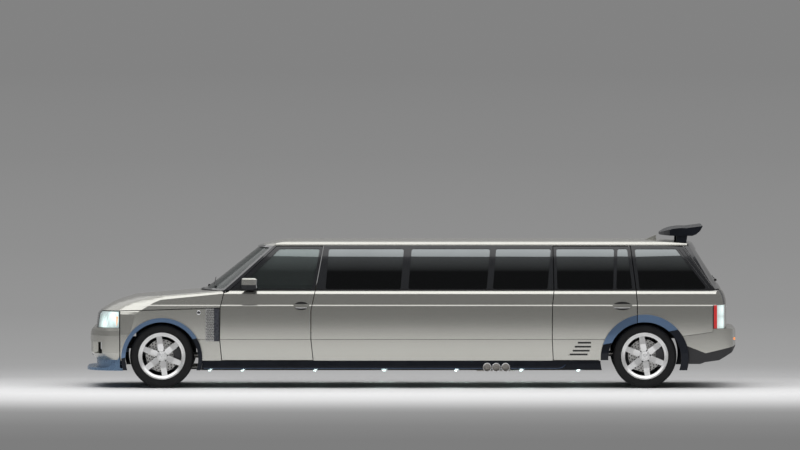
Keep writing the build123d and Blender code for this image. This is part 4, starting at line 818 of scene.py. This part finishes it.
def tyre_piece(node, body, x, side):
    """A low-profile tyre: ribbed walls with no lettering, and a tread of grooved blocks."""
    profile = tyre_profile()
    steps = TREAD_STEPS * 3
    verts = []
    for i, angle in enumerate(around(steps)):
        for y, r in profile:
            slotted = i % 3 == 0 and r > TYRE_R - GROOVE_DEPTH * 0.9 and abs(y) > SLOT_FROM_Y
            radius = r - GROOVE_DEPTH * SLOT_SHARE if slotted else r
            turn = angle + SLOT_SWEEP * abs(y)
            place = (x + radius * math.cos(turn), side * (WHEEL_Y - y), TYRE_R + radius * math.sin(turn))
            verts.append(place)
    faces = turned_faces(steps, len(profile))
    if side < 0:
        faces = [face[::-1] for face in faces]
    tyre = piece(node + "_tread", verts, faces, "rubber", body, "tyre_rubber", 40)
    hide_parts(node)


# The wheels' caps and nuts: how far out from the wheel's middle plane they stand, and their sizes
CAP_Y = 0.105
CAP_R = 0.047
CAP_LOBE = 0.004
CAP_LOBES = 6
CAP_STEPS = 48
# How far out each ring of the cap stands, and its share of the cap's radius
CAP_RINGS = [(0.0, 1.0), (0.004, 1.0), (0.009, 0.86), (0.011, 0.5)]
NUTS = 6
NUT_TURN = 8.5
NUT_SIDES = 6
NUT_RINGS = [(0.064, 0.0075), (0.074, 0.0075), (0.078, 0.005)]


def hub_cap():
    """A lobed centre cap, drawn at the left wheel's place with its centre at the origin."""
    verts = []
    for out, share in CAP_RINGS:
        for angle in around(CAP_STEPS):
            radius = share * (CAP_R + CAP_LOBE * math.cos(CAP_LOBES * angle))
            verts.append(ring_point(angle, radius, -(WHEEL_Y + CAP_Y + out)))
    rows = len(CAP_RINGS)
    return verts, bands(rows, CAP_STEPS) + [tuple(range((rows - 1) * CAP_STEPS, rows * CAP_STEPS))]


def wheel_nut(angle):
    """A hexagonal nut sunk in the hub."""
    centre = ring_point(angle, NUT_CIRCLE_R)
    verts = []
    for out, radius in NUT_RINGS:
        verts += [centre + ring_point(turn, radius, -(WHEEL_Y + out)) for turn in around(NUT_SIDES)]
    rows = len(NUT_RINGS)
    return verts, bands(rows, NUT_SIDES) + [tuple(range((rows - 1) * NUT_SIDES, rows * NUT_SIDES))]


def tyres_and_wheels():
    nuts = joined([wheel_nut(turn + math.radians(NUT_TURN)) for turn in around(NUTS)])
    for end, x in (("front", XF), ("rear", XR)):
        for side, sign in SIDES.items():
            tyre_piece(f"{end}_{side}_tyre", f"{end}_{side}_wheel", x, sign)
        body = end + "_{}_wheel"
        pair(body + "_cap", moved(hub_cap(), (x, 0, TYRE_R)), "satin", body, 50)
        pair(body + "_nuts", moved(nuts, (x, 0, TYRE_R)), "cast", body)


# Lamps

CORE_SCALE = 0.95
# The amber strip: its span along the lamp and in height, and how deep it lies in the lens
AMBER_X = (HEADLAMP[1].x - 0.036, HEADLAMP[1].x - 0.012)
AMBER_Z = (HEADLAMP[0].z + 0.032, HEADLAMP[1].z - 0.062)
AMBER_INSET = 0.004
AMBER_DEPTH = 0.05
AMBER_EDGE = 0.003


def half_mesh(node, side, scale):
    """One side's solid of a node, shrunk about its own centre."""
    mesh = NODES[node].data
    keep = [p for p in mesh.polygons if mesh.vertices[p.vertices[0]].co.y * side > 0]
    used = sorted({i for p in keep for i in p.vertices})
    place = {old: new for new, old in enumerate(used)}
    points = [mesh.vertices[i].co.copy() for i in used]
    low = Vector([min(p[k] for p in points) for k in range(3)])
    high = Vector([max(p[k] for p in points) for k in range(3)])
    centre = (low + high) / 2
    verts = [centre + (p - centre) * scale for p in points]
    return verts, [tuple(place[i] for i in p.vertices) for p in keep]


def headlamp_cores():
    """Lit prism blocks inside the headlamp glass, each with an amber strip at its rear edge."""
    middle_z = (HEADLAMP[0].z + HEADLAMP[1].z) / 2
    width = skin("headlamps", sum(AMBER_X) / 2, middle_z) - AMBER_INSET
    strip = bevelled((AMBER_X[0], -width, AMBER_Z[0]), (AMBER_X[1], AMBER_DEPTH - width, AMBER_Z[1]), AMBER_EDGE)
    pair("{}_amber_strip", strip, "amber")
    for side, sign in SIDES.items():
        piece(f"{side}_headlamp_core", *half_mesh("headlamps", sign, CORE_SCALE), "head_prism", smooth=30)


# Body trim

# The wing's ring: its place in the side plane, its radii, and its centre's domed section
BADGE = (XF + 0.453, 0.929)
BADGE_R = 0.022
BADGE_TUBE_R = 0.005
BADGE_PROUD = 0.001
BADGE_DOME = [(0.0, 0.0), (0.0, 0.018), (-0.002, 0.014), (-0.003, 0.0)]
# The skirt's blue line, as (x, z): level up to the side outlets, then on and up to the rear block
SKIRT_LINES = [
    [(XF + 0.52, 0.244), (XR - 2.000, 0.244)],
    [(XR - 1.640, 0.244), (XR - 1.078, 0.244), (XR - 1.040, 0.247), (XR - 1.010, 0.258),
     (XR - 0.985, 0.275), (XR - 0.972, 0.292)],
]
SKIRT_LINE_R = 0.0045
SKIRT_LINE_SUNK = 0.0005
# The side outlets' places, their height over the skirt's foot, and their rims' radii
OUTLET_X = (XR - 1.934, XR - 1.823, XR - 1.708)
OUTLET_RISE = 0.036
OUTLET_INSET = 0.003
OUTLET_RIM_R = 0.0505
OUTLET_TUBE_R = 0.004


def bezel(centre, radius, thickness):
    """A ring with its axle along Y."""
    ring = [(centre.x + radius * math.cos(a), centre.y, centre.z + radius * math.sin(a)) for a in around(36)]
    return tube(ring, thickness, closed=True)


def wing_bezels():
    """A bare bright ring with a dark centre on each front wing."""
    centre = Vector((BADGE[0], -skin("front_wings", *BADGE) - BADGE_PROUD, BADGE[1]))
    pair("{}_wing_bezel", bezel(centre, BADGE_R, BADGE_TUBE_R), "chrome")
    pair("{}_wing_bezel_centre", moved(lathe(BADGE_DOME, 24), centre), "gloss_black")


def skirt_lines():
    tubes = []
    for corners in SKIRT_LINES:
        start, end = corners[:2]
        level = [(x, start[1]) for x in spread(start[0], end[0], 16)[:-1]]
        path = [(x, -skin("side_skirts", x, z) + SKIRT_LINE_SUNK, z) for x, z in level + corners[1:]]
        tubes.append(tube(path, SKIRT_LINE_R))
    pair("{}_skirt_line", joined(tubes), "pearl_blue")


def outlet_rings():
    """A bright rim on each side outlet."""
    y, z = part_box("exhaust_system")[0].y + OUTLET_INSET, SKIRT[0].z + OUTLET_RISE
    rings = [bezel(Vector((x, y, z)), OUTLET_RIM_R, OUTLET_TUBE_R) for x in OUTLET_X]
    pair("{}_outlet_rims", joined(rings), "chrome", smooth=60)


# Door handles: the span of each, from the axles
HANDLES = {"front": (XF + 1.610, XF + 1.815), "rear": (XR - 0.405, XR - 0.145)}
# The recesses' liners, dark sheets painted in as the shade of the recesses: how far short of the span they end,
# their half height and drop from the feature line, their floor, and their rings as (share of the size, how far
# over the floor)
LINER_MARGIN = 0.013
LINER_HALF_Z = 0.050
LINER_DROP = 0.006
LINER_Y = 0.969
LINER_RINGS = [(1.0, 0.0), (0.9, 0.003), (0.5, 0.005)]
LINER_STEPS = 40
# The bright strip under each bow: its ends, their place, how far it bows out, and its drop
STRIP_MARGIN = 0.035
STRIP_Y = 0.975
STRIP_BOW = 0.030
STRIP_DROP = 0.027
STRIP_R = 0.007


def oval_dish(x, z, half_x, half_z):
    """A shallow oval liner facing outward at the left."""
    verts = []
    for share, inward in LINER_RINGS:
        for angle in around(LINER_STEPS):
            verts.append(Vector((x + share * half_x * math.cos(angle), inward - LINER_Y,
                                 z + share * half_z * math.sin(angle))))
    rows = len(LINER_RINGS)
    floor = tuple(range((rows - 1) * LINER_STEPS, rows * LINER_STEPS))
    return verts, bands(rows, LINER_STEPS, turned=True) + [floor]


def handles():
    """Dark liners in the handles' recesses, which are painted shade, and a bright strip under each bow."""
    for end, (x0, x1) in HANDLES.items():
        dish = oval_dish((x0 + x1) / 2, FEATURE_Z - LINER_DROP, (x1 - x0) / 2 - LINER_MARGIN, LINER_HALF_Z)
        bow = []
        for share in spread(0.0, 1.0, 12):
            x = x0 + STRIP_MARGIN + (x1 - x0 - 2 * STRIP_MARGIN) * share
            bow.append((x, -STRIP_Y - STRIP_BOW * math.sin(math.pi * share), FEATURE_Z - STRIP_DROP))
        body = end + "_{}_door"
        # The liner is a dark sheet standing for the shade in the recess: painted shade
        pair(body + "_recess", dish, "matte_black", body)
        pair(body + "_handle_strip", tube(bow, STRIP_R), "polished", body)


# The ribs behind the last window: each one's x at its foot, how far they lean ahead, and their rise
RIB_X = (XR + 0.799, XR + 0.847)
RIB_LEAN = 0.375
RIB_FOOT_Z = BELT_Z + 0.022
RIB_RISE = 0.478
RIB_R = 0.004
# Window seals: their height over the belt, how proud they are, and how far short of the glass they end
SEAL_RISE = 0.006
SEAL_PROUD = 0.001
SEAL_R = 0.005
DOOR_SEAL_ENDS = (0.01, 0.12)
WALL_SEAL_ENDS = (0.10, 0.10)


def pillar_ribs():
    """Raised ribs on the black panel behind the last window, along the tailgate's edge."""
    ribs = []
    for foot_x in RIB_X:
        line = [(foot_x - RIB_LEAN * share, RIB_FOOT_Z + RIB_RISE * share) for share in spread(0.0, 1.0, 8)]
        ribs.append(tube([(x, -skin("quarter_panels", x, z), z) for x, z in line], RIB_R))
    pair("{}_pillar_ribs", joined(ribs), "matte_black")


def seal_strip(node, box, ends):
    """A rubber strip on a node along the foot of its windows, which box spans."""
    z = BELT_Z + SEAL_RISE
    places = spread(box[0].x + ends[0], box[1].x - ends[1], 16)
    return tube([(x, -skin(node, x, z) - SEAL_PROUD, z) for x in places], SEAL_R)


def waist_seals():
    """A rubber strip along the foot of each side window."""
    pair("{}_wall_seal", seal_strip("stretch_walls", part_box("stretch_walls"), WALL_SEAL_ENDS), "rubber")
    for end in ("front", "rear"):
        seal = seal_strip(f"{end}_left_door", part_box(f"{end}_left_door_glass"), DOOR_SEAL_ENDS)
        pair(end + "_{}_door_seal", seal, "rubber", end + "_{}_door")


# The door mirrors' glass, in the cap's rear face
MIRROR_GLASS_X = (MIRROR[1].x - 0.006, MIRROR[1].x + 0.003)
MIRROR_GLASS_Y = (-1.085, -0.925)
MIRROR_GLASS_Z = (MIRROR[0].z + 0.035, MIRROR[1].z - 0.014)
MIRROR_GLASS_EDGE = 0.004


def mirror_glasses():
    """The glass in the rear face of each door mirror."""
    glass = bevelled(*zip(MIRROR_GLASS_X, MIRROR_GLASS_Y, MIRROR_GLASS_Z), MIRROR_GLASS_EDGE)
    pair("front_{}_mirror_glass", glass, "chrome", "front_{}_door")


# Front and rear ends

MESH_R = 0.003
MESH_SIDES = 6
# The grille's uprights: their place, half span, height and number
GRILLE_X = HEADLAMP[1].x - 0.101
GRILLE_HALF = 0.53
GRILLE_Z = (0.757, 0.917)
GRILLE_BARS = 28
# The left intake's mesh: its inner and outer ends as (x, y), its rows' and its uprights' heights
INTAKE_INNER = (XF - 0.70, -0.585)
INTAKE_OUTER = (XF - 0.66, -0.795)
INTAKE_ROWS_Z = (0.430, 0.550)
INTAKE_COLUMNS_Z = (0.422, 0.558)
INTAKE_ROWS = 7
INTAKE_COLUMNS = 9
# Blank plates and the bare handle bar over the rear one, with spans along X from the face they sit on
PLATE_HALF = 0.26
PLATE_HALF_Z = 0.055
PLATE_MARGIN = 0.003
PLATE_EDGE = 0.002
FRONT_PLATE_X = (-0.005, 0.040)
REAR_PLATE_X = (-0.015, 0.005)
HANDLE_BAR_X = (-0.004, 0.012)
HANDLE_BAR_EDGE = 0.005
FRONT_PLATE_Z = 0.630
REAR_PLATE_Z = 0.900
HANDLE_BAR_HALF = 0.36
HANDLE_BAR_Z = (0.985, 1.015)
# The left rear reflector: its span in Y and Z, and where its bumper's face is measured
REFLECTOR_Y = (-0.70, -0.54)
REFLECTOR_Z = (0.585, 0.615)
REFLECTOR_X = (-0.004, 0.004)
REFLECTOR_EDGE = 0.002


def face_x(node, end, z):
    """How far out along X a node's face reaches over a plate's area."""
    half_z = PLATE_HALF_Z - PLATE_MARGIN
    rows = (z - half_z, z, z + half_z)
    reach = [end_face(node, end, y, row).x for y in spread(-PLATE_HALF, PLATE_HALF, 4) for row in rows]
    return max(reach) if end == TAIL else min(reach)


def plate(name, face, span_x, z, body):
    """A blank number plate on a face."""
    low, high = [(face + x, side * PLATE_HALF, z + side * PLATE_HALF_Z) for x, side in zip(span_x, (-1, 1))]
    piece(name, *bevelled(low, high, PLATE_EDGE), "plate", body)


def rod(*ends):
    return tube(ends, MESH_R, MESH_SIDES)


def between_ends(share):
    """A place along the intake, from its inner end to its outer one, as (x, y)."""
    return [inner + (outer - inner) * share for inner, outer in zip(INTAKE_INNER, INTAKE_OUTER)]


def front_details():
    """Grille uprights, the side intakes' meshes and a blank plate."""
    places = spread(-GRILLE_HALF, GRILLE_HALF, GRILLE_BARS - 1)
    bars = [rod(*[(GRILLE_X, y, z) for z in GRILLE_Z]) for y in places]
    piece("grille_uprights", *joined(bars), "gloss_black")
    mesh = [rod((*INTAKE_INNER, z), (*INTAKE_OUTER, z)) for z in spread(*INTAKE_ROWS_Z, INTAKE_ROWS - 1)]
    for share in spread(0.0, 1.0, INTAKE_COLUMNS - 1):
        mesh.append(rod(*[(*between_ends(share), z) for z in INTAKE_COLUMNS_Z]))
    pair("{}_intake_mesh", joined(mesh), "gloss_black")
    face = face_x("front_bumper", NOSE, FRONT_PLATE_Z)
    plate("front_plate", face, FRONT_PLATE_X, FRONT_PLATE_Z, "root")


def rear_details():
    """A blank rear plate, a bare handle bar over it and bumper reflectors that glow with the lit amber finish, a
    painted glow.
    """
    face = face_x("lower_tailgate", TAIL, REAR_PLATE_Z)
    plate("rear_plate", face, REAR_PLATE_X, REAR_PLATE_Z, "lower_tailgate")
    span_x = [face + x for x in HANDLE_BAR_X]
    bar = bevelled(*zip(span_x, (-HANDLE_BAR_HALF, HANDLE_BAR_HALF), HANDLE_BAR_Z), HANDLE_BAR_EDGE)
    piece("rear_handle_bar", *bar, "chrome", "lower_tailgate")
    middle = end_face("rear_bumper", TAIL, sum(REFLECTOR_Y) / 2, sum(REFLECTOR_Z) / 2).x
    span_x = [middle + x for x in REFLECTOR_X]
    # The reflectors are no lamps; their lit amber finish is a painted glow
    pair("{}_reflector", bevelled(*zip(span_x, REFLECTOR_Y, REFLECTOR_Z), REFLECTOR_EDGE), "amber")


# Wipers. Front ones by the pivot's y, with heights over the belt and steps in y from the pivot
WIPER_Y = {"left": -0.55, "right": 0.10}
PIVOT_RISE = 0.035
TIP_STEP, TIP_RISE = 0.42, 0.10
BLADE_STEP, BLADE_RISE = 0.10, 0.05
BLADE_SHARE = 0.62
# How far off the glass the arm starts and ends
PIVOT_OFF = Vector((-0.008, 0, -0.004))
TIP_OFF = Vector((-0.014, 0, 0))
# The rear wiper's pivot and tip, as (y, height over the belt, how far off the glass), and its blade
REAR_PIVOT = (0.0, 0.10, 0.012)
REAR_TIP = (0.30, 0.13, 0.014)
REAR_BLADE = (0.0, 0.16, 0.01)
WIPER_ARM_R = 0.006
WIPER_BLADE_R = 0.005
WIPER_BOSS = [(0, 0), (0, 0.016), (0.02, 0.014), (0.022, 0)]


def wiper(name, pivot, tip, blade_half, body):
    """An arm from its pivot to a blade across its tip."""
    along = Vector(blade_half)
    arched = pivot.lerp(tip, 0.5) + Vector((0, 0, 0.006))
    arm = tube([pivot, arched, tip], WIPER_ARM_R, flat=0.6)
    blade = tube([tip - along, tip, tip + along], WIPER_BLADE_R)
    boss = moved(lathe(WIPER_BOSS, 20), pivot)
    piece(name, *joined([arm, blade, boss]), "matte_black", body)


def wipers():
    for side, y in WIPER_Y.items():
        pivot, tip, low = [end_face("windscreen", NOSE, y + step, BELT_Z + rise) for step, rise in
                           ((0.0, PIVOT_RISE), (TIP_STEP, TIP_RISE), (BLADE_STEP, BLADE_RISE))]
        wiper(f"wiper_{side}", pivot + PIVOT_OFF, tip + TIP_OFF, (tip - low) * BLADE_SHARE, "root")
    pivot, tip = [end_face("tailgate_glass", TAIL, y, BELT_Z + rise) + Vector((off, 0, 0))
                  for y, rise, off in (REAR_PIVOT, REAR_TIP)]
    wiper("rear_wiper", pivot, tip, REAR_BLADE, "upper_tailgate")


# Seats

# A pad's faces are crowned by this power; its sides pull in, and its channels sink, by these shares
PAD_POWER = 7.0
PAD_CUTS = 18
PAD_PULL = 0.035
CHANNEL_WIDTH = 0.06
CHANNEL_SINK = 0.07
CHANNEL_PINCH = 0.02
# Gap on each side of a pad, slack inside the CAD solid's top, and the plinths' edge
PAD_GAP = 0.004
PAD_SLACK = 0.002
PLINTH_EDGE = 0.012
# Plinths, seats and backs, from the low corner of their CAD solid's box
LOUNGE_SEATS = 5
LOUNGE_PLINTH_TOP = 0.24
LOUNGE_SEAT_Z = (0.245, 0.40)
LOUNGE_SEAT_DEPTH = 0.36
LOUNGE_BACK_Y = 0.372
BENCH_SEATS = 2
BENCH_PLINTH_Z = (0.135, 0.235)
BENCH_SEAT_Z = (0.238, 0.37)
BENCH_SEAT_DEPTH = 0.30
BENCH_BACK_X = 0.303
BACK_FOOT = 0.25
# Front seats from the foot of their front edge: x span, half width, z span
CAB_SEAT_Y = -0.40
CAB_BASE = ((0.05, 0.47), 0.20, (0.0, 0.184))
CAB_CUSHION = ((0.0, 0.47), 0.26, (0.185, 0.335))
CAB_BACK = ((0.465, 0.595), 0.26, (0.345, 0.94))
CAB_HEAD = ((0.665, 0.765), 0.13, (0.935, 1.105))
RAKE_PIVOT = (0.53, 0.31)
RAKE = math.radians(14)


def cushion(low, high, channels=0, across=1):
    """A stuffed pad between two corners: crowned faces, pulled-in sides and sewn channels."""
    low, high = Vector(low), Vector(high)
    centre, half = (low + high) / 2, (high - low) / 2
    mesh = bmesh.new()
    bmesh.ops.create_cube(mesh, size=2.0)
    bmesh.ops.subdivide_edges(mesh, edges=mesh.edges[:], cuts=PAD_CUTS, use_grid_fill=True)
    for vert in mesh.verts:
        p = vert.co
        q = p / sum(abs(p[k]) ** PAD_POWER for k in range(3)) ** (1 / PAD_POWER)
        pull = 1.0 - PAD_PULL * (1 - abs(q[across]) ** 2) * (1 if abs(q.z) < 0.6 else 0)
        q = Vector((q.x * pull, q.y * pull, q.z))
        if channels:
            phase = (q[across] + 1) / 2 * channels
            seam = round(phase)
            groove = math.exp(-((phase - seam) / CHANNEL_WIDTH) ** 2) if 0 < seam < channels else 0
            q.z *= 1 - CHANNEL_SINK * groove
            q.x *= 1 - CHANNEL_PINCH * groove
        vert.co = centre + Vector([q[k] * half[k] for k in range(3)])
    return taken(mesh)


def tilted(shape, centre, angle):
    """A shape turned about an axle along Y."""
    turn = Matrix.Rotation(angle, 4, "Y")
    centre = Vector(centre)
    return [centre + turn @ (v - centre) for v in shape[0]], shape[1]


def pad(name, shape, replaced):
    thing = piece(name, *shape, "leather", "root", "seat_leather", 60)
    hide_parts(replaced)


def shares(low, high, count):
    """Equal spans from low to high, each with a gap on both sides."""
    edges = spread(low, high, count)
    return [(start + PAD_GAP, end - PAD_GAP) for start, end in zip(edges, edges[1:])]


def lounge():
    """The long side bench: a plinth, seat pads and back pads."""
    low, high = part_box("lounge_seats")
    plinth_top = (high.x, high.y, low.z + LOUNGE_PLINTH_TOP)
    plinth = piece("lounge_plinth", *bevelled(low, plinth_top, PLINTH_EDGE), "cabin")
    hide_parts("lounge_seats")
    seat_z = [low.z + rise for rise in LOUNGE_SEAT_Z]
    for i, (x0, x1) in enumerate(shares(low.x, high.x, LOUNGE_SEATS), start=1):
        seat = cushion((x0, low.y, seat_z[0]), (x1, low.y + LOUNGE_SEAT_DEPTH, seat_z[1]), 3, across=0)
        back = cushion((x0, low.y + LOUNGE_BACK_Y, low.z + BACK_FOOT),
                       (x1, high.y - PAD_SLACK, high.z - PAD_SLACK), 3, across=0)
        pad(f"lounge_seat_{i}", seat, "lounge_seats")
        pad(f"lounge_back_{i}", back, "lounge_seats")


def rear_seats():
    """The rear bench: a plinth, and a seat pad and a back pad for each of two."""
    low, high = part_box("rear_bench")
    plinth_z, seat_z = [[low.z + rise for rise in span] for span in (BENCH_PLINTH_Z, BENCH_SEAT_Z)]
    block = bevelled((low.x, low.y, plinth_z[0]), (high.x, high.y, plinth_z[1]), PLINTH_EDGE)
    plinth = piece("rear_bench_plinth", *block, "cabin")
    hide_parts("rear_bench")
    for i, (y0, y1) in enumerate(shares(low.y, high.y, BENCH_SEATS), start=1):
        seat = cushion((low.x, y0, seat_z[0]), (low.x + BENCH_SEAT_DEPTH, y1, seat_z[1]), 4)
        back = cushion((low.x + BENCH_BACK_X, y0, low.z + BACK_FOOT), (high.x, y1, high.z - PAD_SLACK), 4)
        pad(f"rear_seat_{i}", seat, "rear_bench")
        pad(f"rear_back_{i}", back, "rear_bench")


def cab_seats():
    """Two seats: base, cushion, raked back and head restraint."""
    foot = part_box("front_seats")[0]

    def corners(part):
        (x0, x1), half, (z0, z1) = part
        return ((foot.x + x0, CAB_SEAT_Y - half, foot.z + z0), (foot.x + x1, CAB_SEAT_Y + half, foot.z + z1))

    pivot = (foot.x + RAKE_PIVOT[0], CAB_SEAT_Y, foot.z + RAKE_PIVOT[1])
    pads = {
        "cushion": cushion(*corners(CAB_CUSHION), 4),
        "back": tilted(cushion(*corners(CAB_BACK), 4), pivot, RAKE),
        "head": cushion(*corners(CAB_HEAD)),
    }
    for side, sign in SIDES.items():
        base = bevelled(*corners(CAB_BASE), 0.01)
        thing = piece(f"{side}_seat_base", *flipped(base, sign), "cabin")
        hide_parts("front_seats")
        for name, shape in pads.items():
            pad(f"{side}_seat_{name}", flipped(shape, sign), "front_seats")


# Stage, lights and camera

VIEW_CENTRE = Vector((-0.140, 0.0, 2.005))
VIEW_WIDTH = 9.816
CAMERA_DISTANCE = 140.0
CAMERA_ELEVATION = math.radians(1.5)
SENSOR = 36.0

BACKDROP = 0.224
# The floor's own tone, as (metres from the car, tone), on the near side and behind the car: a painted pool of
# light, a little darker right at the car, that falls off away from it, and a painted shadow behind it
FLOOR_POOL_TONES = [(0.0, 0.60), (1.6, 0.64), (3.4, 0.56), (6.5, 0.34), (12.0, 0.22), (30.0, 0.20)]
BEHIND_SHADOW_TONES = [(0.0, 0.42), (1.6, 0.40), (3.4, 0.38), (6.5, 0.32), (12.0, 0.22), (30.0, 0.20)]
# What the camera, mirrors and glass see of the floor further off, on the near side and behind: the same painted
# pool of light and painted shadow
SEEN_POOL_TONES = [(2.0, 0.71), (3.4, 0.58), (6.2, 0.32), (10.3, 0.235), (14.0, 0.205), (300.0, BACKDROP)]
SEEN_SHADOW_TONES = [(2.0, 0.42), (8.0, 0.345), (25.0, 0.30), (60.0, 0.275), (140.0, 0.245), (300.0, BACKDROP)]
# Where the near side's tones turn into those behind, along Y, and where the own tone into the seen one
BEHIND_Y = (-1.3, 2.6)
SEEN_FROM = (2.2, 7.0)
FLOOR_REACH = 3000.0

# Light from the world by the sine of its elevation, a little bluer between the ends
WORLD_TONES = [(0.0, 0.16), (0.05, 0.13), (0.20, 0.05), (0.42, 0.06), (0.55, 0.7), (1.0, 0.9)]
WORLD_BLUE = 1.03
# Overhead lights: place, length, width and power
OVERHEAD = {
    "overhead": ((0, -3.6, 6.2), 20, 9.0, 800),
    "far_overhead": ((0, 7.5, 6.2), 20, 12.0, 380),
}
PUDDLE_POWER = 0.25
PUDDLE_DROP = 0.03
PUDDLE_R = 0.02


def placed(name, data, location):
    """An object for the scene alone, such as a light."""
    thing = bpy.data.objects.new(name, data)
    thing.location = location
    bpy.context.scene.collection.objects.link(thing)
    return thing


def camera():
    data = bpy.data.cameras.new("camera")
    data.sensor_width = SENSOR
    data.lens = SENSOR * CAMERA_DISTANCE / VIEW_WIDTH
    data.clip_start = 1.0
    data.clip_end = 4000
    reach = CAMERA_DISTANCE * math.cos(CAMERA_ELEVATION) + SKIN_W
    height = VIEW_CENTRE.z + CAMERA_DISTANCE * math.sin(CAMERA_ELEVATION)
    thing = placed("camera", data, (VIEW_CENTRE.x, -reach, height))
    thing.rotation_euler = (math.radians(90) - CAMERA_ELEVATION, 0, 0)
    bpy.context.scene.camera = thing


def seen_ray(tree):
    """1 for a ray from the camera, a mirror or glass, 0 for one that carries light."""
    path = tree.nodes.new("ShaderNodeLightPath")
    total = path.outputs["Is Camera Ray"]
    for kind in ("Is Glossy Ray", "Is Transmission Ray"):
        node = tree.nodes.new("ShaderNodeMath")
        node.operation = "MAXIMUM"
        tree.links.new(total, node.inputs[0])
        tree.links.new(path.outputs[kind], node.inputs[1])
        total = node.outputs[0]
    return total


def set_greys(ramp, tones, blue=1.0):
    """A colour ramp's stops from a table of (place, tone), as places up to the last one's."""
    span = tones[-1][0]
    stops = ramp.color_ramp.elements
    for stop, place, tone in ((stops[0], 0.0, tones[0][1]), (stops[1], 1.0, tones[-1][1])):
        stop.position = place
        stop.color = (tone, tone, tone, 1)
    for place, tone in tones[1:-1]:
        stop = stops.new(place / span)
        stop.color = (tone, tone, tone * blue, 1)


def tone_ramp(finish, value, tones):
    """A grey that follows a table of (distance, tone)."""
    ramp = finish.add("ValToRGB", finish.fade(value, 0.0, tones[-1][0]))
    set_greys(ramp, tones)
    return ramp.outputs[0]


def stage():
    """A pale floor: a painted pool of light round the car that falls off to the backdrop's grey, and a painted
    shadow behind the car; far behind, the floor stays near that grey.
    """
    finish = Finish("floor", (FLOOR_POOL_TONES[0][1],) * 3, 0.8)
    past_end = finish.either(finish.minus(finish.math("ABSOLUTE", finish.x), cad_box[1].x), 0.0)
    past_side = finish.either(finish.minus(finish.from_centre(), SKIN_W), 0.0)
    away = finish.length(past_end, past_side)
    # Painted shadow behind the car: the tones turn to the darker ones behind along BEHIND_Y, and all of them
    # make a painted pool of light
    behind = finish.fade(finish.y, *BEHIND_Y)
    own, seen = [finish.mix(behind, tone_ramp(finish, away, near), tone_ramp(finish, away, far))
                 for near, far in ((FLOOR_POOL_TONES, BEHIND_SHADOW_TONES), (SEEN_POOL_TONES, SEEN_SHADOW_TONES))]
    finish.set("Base Color", own)
    share = finish.times(finish.fade(away, *SEEN_FROM), seen_ray(finish.tree))
    shown = finish.add("Emission", seen, 1.0).outputs[0]
    blended = finish.add("MixShader", share, finish.shader.outputs[0], shown)
    finish.tree.links.new(blended.outputs[0], finish.tree.nodes["Material Output"].inputs["Surface"])
    mesh = bpy.data.meshes.new("floor")
    corners = [(x * FLOOR_REACH, y * FLOOR_REACH, 0) for x, y in ((-1, -1), (1, -1), (1, 1), (-1, 1))]
    mesh.from_pydata(corners, [], [(0, 1, 2, 3)])
    mesh.materials.append(finish.material)
    floor = placed("floor", mesh, (0, 0, 0))


def world():
    """A dark studio lit from overhead; the camera, mirrors and glass see a plain grey backdrop."""
    studio = bpy.data.worlds.new("studio")
    bpy.context.scene.world = studio
    studio.use_nodes = True
    tree = studio.node_tree
    place = tree.nodes.new("ShaderNodeTexCoord").outputs["Generated"]
    axes = tree.nodes.new("ShaderNodeSeparateXYZ")
    tree.links.new(place, axes.inputs[0])
    ramp = tree.nodes.new("ShaderNodeValToRGB")
    tree.links.new(axes.outputs[2], ramp.inputs[0])
    set_greys(ramp, WORLD_TONES, WORLD_BLUE)
    seen = tree.nodes.new("ShaderNodeMix")
    seen.data_type = "RGBA"
    tree.links.new(seen_ray(tree), seen.inputs[0])
    tree.links.new(ramp.outputs[0], seen.inputs[6])
    seen.inputs[7].default_value = (BACKDROP, BACKDROP, BACKDROP, 1)
    tree.links.new(seen.outputs[2], tree.nodes["Background"].inputs[0])


def lights():
    """Two wide overhead lights, and a small one under each skirt lamp."""
    for name, (place, length, width, power) in OVERHEAD.items():
        data = bpy.data.lights.new(name, "AREA")
        data.shape = "RECTANGLE"
        data.size, data.size_y = length, width
        data.energy = power
        placed(name, data, place)
    lamps = NODES["skirt_lamps"].data
    spots = {(round(v.co.x, 1), round(v.co.y, 1)): v.co.copy() for v in lamps.vertices}
    for i, spot in enumerate(spots.values()):
        data = bpy.data.lights.new(f"puddle_{i}", "POINT")
        data.energy = PUDDLE_POWER
        data.color = LAMP_WHITE
        data.shadow_soft_size = PUDDLE_R
        placed(f"puddle_{i}", data, (spot.x, spot.y, SKIRT[0].z - PUDDLE_DROP))


camera()
stage()
world()
lights()
dress_nodes()
tyres_and_wheels()
headlamp_cores()
wing_bezels()
skirt_lines()
outlet_rings()
handles()
pillar_ribs()
waist_seals()
mirror_glasses()
front_details()
wipers()
rear_details()
lounge()
rear_seats()
cab_seats()

bpy.context.scene.view_settings.view_transform = "Standard"
